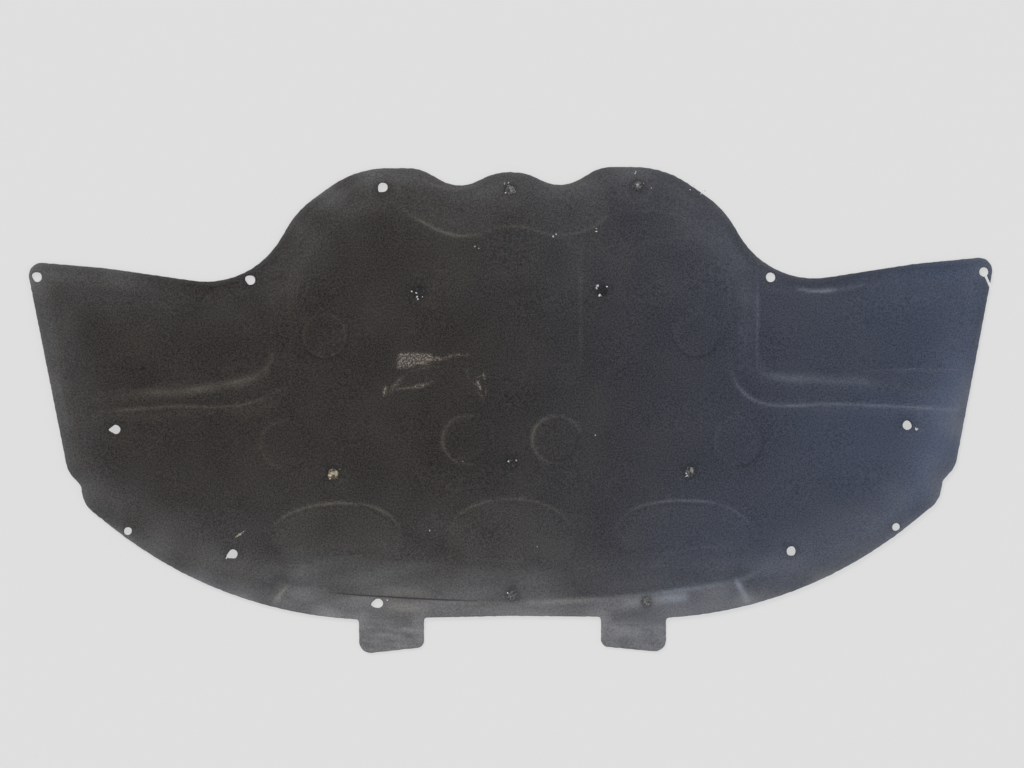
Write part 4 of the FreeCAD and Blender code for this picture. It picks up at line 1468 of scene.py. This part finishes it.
@dataclass
class FrayedFibres:
    """Torn fibres that plug or fringe the clip holes, and one torn nick in the face."""

    name: str = "frayed_fibres"
    # The ragged bed in a clogged hole: half its width, half its height and its drop.
    bed_mm: float = 9.2
    bed_half_mm: float = 1.3
    bed_drop_mm: float = 1.7
    # Strands on the bed: their number, where they lie, their size, bend, tilt and paleness.
    strands: int = 34
    strand_reach_mm: float = 6.4
    strand_rise_mm: Span = (-0.4, 0.35)
    strand_length_mm: Span = (4.0, 10.0)
    strand_half_mm: Span = (0.3, 0.6)
    strand_bend: Span = (-0.7, 0.7)
    strand_tilt: Span = (-0.08, 0.08)
    strand_tone: Span = (-0.3, 1.3)
    strand_steps: int = 5
    # A strand's thickness in its middle, and how it tapers by the square of the way to its ends.
    strand_middle: float = 1.1
    strand_taper: float = 4.0
    # Flecks: length, width and height by their size, and spread of their paleness.
    fleck_long: Span = (0.9, 1.3)
    fleck_wide: float = 0.8
    fleck_flat: float = 0.4
    fleck_tone: Span = (0.85, 1.2)
    # Tufts: points around, rows from bottom to top, and raggedness.
    around: int = 9
    rows: int = 4
    ragged: Span = (0.7, 1.15)
    nick_warm: float = 0.8
    nick_tone: float = 0.8
    nick: tuple[tuple[float, float, float], ...] = (
        (-357, -162.4, 0.9), (-355, -161.2, 1.3), (-353, -159.9, 1.5), (-351, -158.6, 1.5),
        (-349, -157.2, 1.2), (-347, -155.6, 0.9), (-345, -153.6, 0.6),
    )
    # Single pale fibre ends that stand out of the fleece.
    ends: tuple[tuple[float, float, float], ...] = (
        (-46, 211.5, 1.2), (-40.8, 208.9, 0.8), (55.3, 223.9, 1.5), (59.2, 226.5, 1),
        (111.1, 230.1, 1.1), (111.1, 234, 0.9), (233.3, 283.9, 1), (238.5, 289.1, 0.8),
        (247.5, 278.7, 1.1), (252.8, 282.5, 0.8), (108.4, -33.2, 0.9), (-63, -66, 0.8),
        (-106.3, -155.3, 1), (32.4, -176.8, 0.8),
    )
    heap: Heap = field(default_factory=Heap)
    draw: np.random.Generator = field(default_factory=lambda: np.random.default_rng(SEED))

    def build(self, felt: FeltPad) -> bpy.types.Object:
        """Make and dress every plug and fleck as one piece.

        Args:
            felt: The finished felt, which gives the heights to sit on.

        Returns:
            The piece, with its paleness and warmth.
        """
        for clip in CLIPS:
            if clip.state is Damage.CLOGGED:
                self.plug(felt, clip)
            for dx, dy, size, *tone in clip.flecks:
                self.fleck(felt, (clip.x + dx, clip.y + dy), size, clip.warm, *tone)
        for x, y, size in self.nick:
            self.fleck(felt, (x, y), size, self.nick_warm, self.nick_tone)
        for x, y, size in self.ends:
            self.fleck(felt, (x, y), size, 0.0)
        heap = self.heap
        masks = {Mask.PALE: np.concatenate(heap.pale), Mask.WARM: np.concatenate(heap.warm)}
        fray = new_piece(self.name, np.concatenate(heap.places), np.concatenate(heap.tris), masks)
        fray.data.materials.append(FrayFinish().build())
        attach(fray, BODY)
        return fray

    def plug(self, felt: FeltPad, clip: Clip) -> None:
        """Clog a hole with a ragged bed and with strands that lie across it and its rim.

        Args:
            felt: The finished felt.
            clip: The clogged hole.
        """
        rim = felt.level(clip.x, clip.y)
        bed = (self.bed_mm, self.bed_mm, self.bed_half_mm)
        self.heap.put(*self.tuft((clip.x, clip.y, rim - self.bed_drop_mm), bed), clip.bed, 0.0)
        for _ in range(self.strands):
            way, course = self.draw.uniform(0, 2 * math.pi, 2)
            out = self.strand_reach_mm * math.sqrt(self.draw.uniform(0, 1))
            rise = self.draw.uniform(*self.strand_rise_mm)
            spot = (clip.x + out * math.cos(way), clip.y + out * math.sin(way), rim + rise)
            tone = max(0.0, clip.bed + clip.plug * self.draw.uniform(*self.strand_tone))
            self.heap.put(*self.strand(spot, course), tone, clip.warm)

    def fleck(self, felt: FeltPad, place: Spot, size: float, warm: float, tone: float = 1.0) -> None:
        """Set one pale fleck on the face, or on the plug where it lies over the hole.

        Args:
            felt: The finished felt.
            place: Where it lies in the plan, in millimetres.
            size: Half its width.
            warm: How beige it is, from nought to one.
            tone: Its paleness.
        """
        height = felt.level(*place)
        long = size * self.draw.uniform(*self.fleck_long)
        shape = (long, size * self.fleck_wide, size * self.fleck_flat)
        tone *= self.draw.uniform(*self.fleck_tone)
        self.heap.put(*self.tuft((*place, height), shape), tone, warm)

    def strand(self, centre: tuple[float, float, float], course: float) -> tuple[np.ndarray, np.ndarray]:
        """A pulled bundle of fibres: a thin three-sided strip, bent and tapered to its ends.

        Args:
            centre: Its middle in millimetres.
            course: Its direction in the plan, in radians.

        Returns:
            Points and triangles of the closed strip.
        """
        length = self.draw.uniform(*self.strand_length_mm)
        half = self.draw.uniform(*self.strand_half_mm)
        bend = self.draw.uniform(*self.strand_bend)
        tilt = self.draw.uniform(*self.strand_tilt)
        along = np.array((math.cos(course), math.sin(course), tilt))
        across = np.array((-math.sin(course), math.cos(course), 0.0))
        up = np.array((0.0, 0.0, 1.0))
        points = []
        for mark in np.linspace(-0.5, 0.5, self.strand_steps):
            thick = half * (self.strand_middle - self.strand_taper * mark * mark)
            middle = np.array(centre) + along * mark * length + across * bend * length * mark * mark
            points += [middle - across * thick, middle + across * thick, middle + up * thick]
        last = 3 * (self.strand_steps - 1)
        tris = [(0, 1, 2)]
        for low in range(0, last, 3):
            for side, after in ((0, 1), (1, 2), (2, 0)):
                tris.append((low + side, low + 3 + side, low + 3 + after))
                tris.append((low + side, low + 3 + after, low + after))
        tris.append((last, last + 2, last + 1))
        return np.array(points), np.array(tris)

    def tuft(self, centre: tuple[float, float, float],
             size: tuple[float, float, float]) -> tuple[np.ndarray, np.ndarray]:
        """A ragged, flattened ball of fibres.

        Args:
            centre: Middle of the tuft in millimetres.
            size: Half its length, width and height.

        Returns:
            Points and triangles of a closed ball.
        """
        turn = self.draw.uniform(0, 2 * math.pi)
        points = [(0, 0, -1)]
        for row in range(1, self.rows):
            tilt = math.pi * row / self.rows
            for step in range(self.around):
                angle = 2 * math.pi * step / self.around
                out = math.sin(tilt) * self.draw.uniform(*self.ragged)
                points.append((out * math.cos(angle), out * math.sin(angle), -math.cos(tilt)))
        points.append((0, 0, 1))
        shape = np.array(points) * size
        spin = np.array([[math.cos(turn), -math.sin(turn)], [math.sin(turn), math.cos(turn)]])
        shape[:, :2] = shape[:, :2] @ spin.T
        tris = []
        last = len(points) - 1
        for step in range(self.around):
            after = (step + 1) % self.around
            tris.append((0, 1 + after, 1 + step))
            for row in range(self.rows - 2):
                low = 1 + row * self.around
                high = low + self.around
                tris.append((low + step, low + after, high + after))
                tris.append((low + step, high + after, high + step))
            low = 1 + (self.rows - 2) * self.around
            tris.append((low + step, low + after, last))
        return shape + np.array(centre), np.array(tris)


@dataclass(frozen=True)
class Sun:
    """A broad, even lamp: where it stands, how much it lights, how soft it is, its colour."""

    name: str
    bearing_deg: float
    rise_deg: float
    level: float
    spread_deg: float
    colour: str
    height_m: float = 2.0

    def build(self) -> None:
        """Hang the lamp."""
        light = bpy.data.lights.new(self.name, "SUN")
        light.angle = math.radians(self.spread_deg)
        # A level of one lights a flat face to its own colour.
        light.energy = self.level * math.pi / math.sin(math.radians(self.rise_deg))
        light.color = linear(self.colour)[:3]
        lamp = new_object(self.name, light)
        lamp.rotation_euler = (math.radians(90 - self.rise_deg), 0, math.radians(self.bearing_deg + 90))
        lamp.location = (0, 0, self.height_m)


@dataclass
class Studio:
    """Pale floor, soft light and a camera straight above the pad."""

    across_mm: float = 1328.2
    centre_mm: Spot = (1.07, 33.5)
    roll_deg: float = -0.309
    lens_mm: float = 120.0
    sensor_mm: float = 36.0
    sight_m: float = 50.0
    floor_m: float = 12.0
    floor_drop_mm: float = 0.4
    sky_level: float = 0.66
    # A broad key from the rear left and a cool one from the right.
    suns: tuple[Sun, ...] = (
        Sun("key_light", 118.0, 34.0, 0.27, 16.0, "#fffaf4"),
        Sun("cool_light", -8.0, 28.0, 0.06, 40.0, "#d6e2ff"),
    )

    def build(self) -> None:
        """Set up the floor, the lights, the world and the camera."""
        bpy.context.scene.view_settings.view_transform = "Standard"
        self.floor()
        self.sky()
        for sun in self.suns:
            sun.build()
        self.camera()

    def floor(self) -> None:
        """Lay the pale floor just under the pad."""
        half = self.floor_m / 2
        mesh = bpy.data.meshes.new("floor")
        mesh.from_pydata(
            [(-half, -half, 0), (half, -half, 0), (half, half, 0), (-half, half, 0)],
            [], [(0, 1, 2, 3)],
        )
        mesh.materials.append(FloorFinish().build())
        floor = new_object("floor", mesh)
        floor.location.z = -self.floor_drop_mm * MM

    def sky(self) -> None:
        """Put a plain white world around the pad."""
        world = bpy.data.worlds.new("studio")
        world.use_nodes = True
        sky = world.node_tree.nodes["Background"]
        sky.inputs["Color"].default_value = (1.0, 1.0, 1.0, 1.0)
        sky.inputs["Strength"].default_value = self.sky_level
        bpy.context.scene.world = world

    def camera(self) -> None:
        """Look straight down with a long lens."""
        data = bpy.data.cameras.new("camera")
        data.lens = self.lens_mm
        data.sensor_width = self.sensor_mm
        data.clip_end = self.sight_m
        eye = new_object("camera", data)
        height = self.across_mm * MM * self.lens_mm / self.sensor_mm
        eye.location = (self.centre_mm[0] * MM, self.centre_mm[1] * MM, height)
        eye.rotation_euler = (0, 0, math.radians(self.roll_deg))
        bpy.context.scene.camera = eye


def main() -> None:
    """Build the pad and the studio, and note the sizes."""
    logging.basicConfig(level=logging.INFO)
    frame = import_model()
    felt = FeltPad()
    pad = felt.build(frame["nodes"][NODE])
    log.info("felt_pad: %d triangles", len(pad.data.polygons))
    fray = FrayedFibres().build(felt)
    log.info("frayed_fibres: %d triangles", len(fray.data.polygons))
    Studio().build()
    log.info("floor, lights and camera are set")


if __name__ == "__main__":
    main()
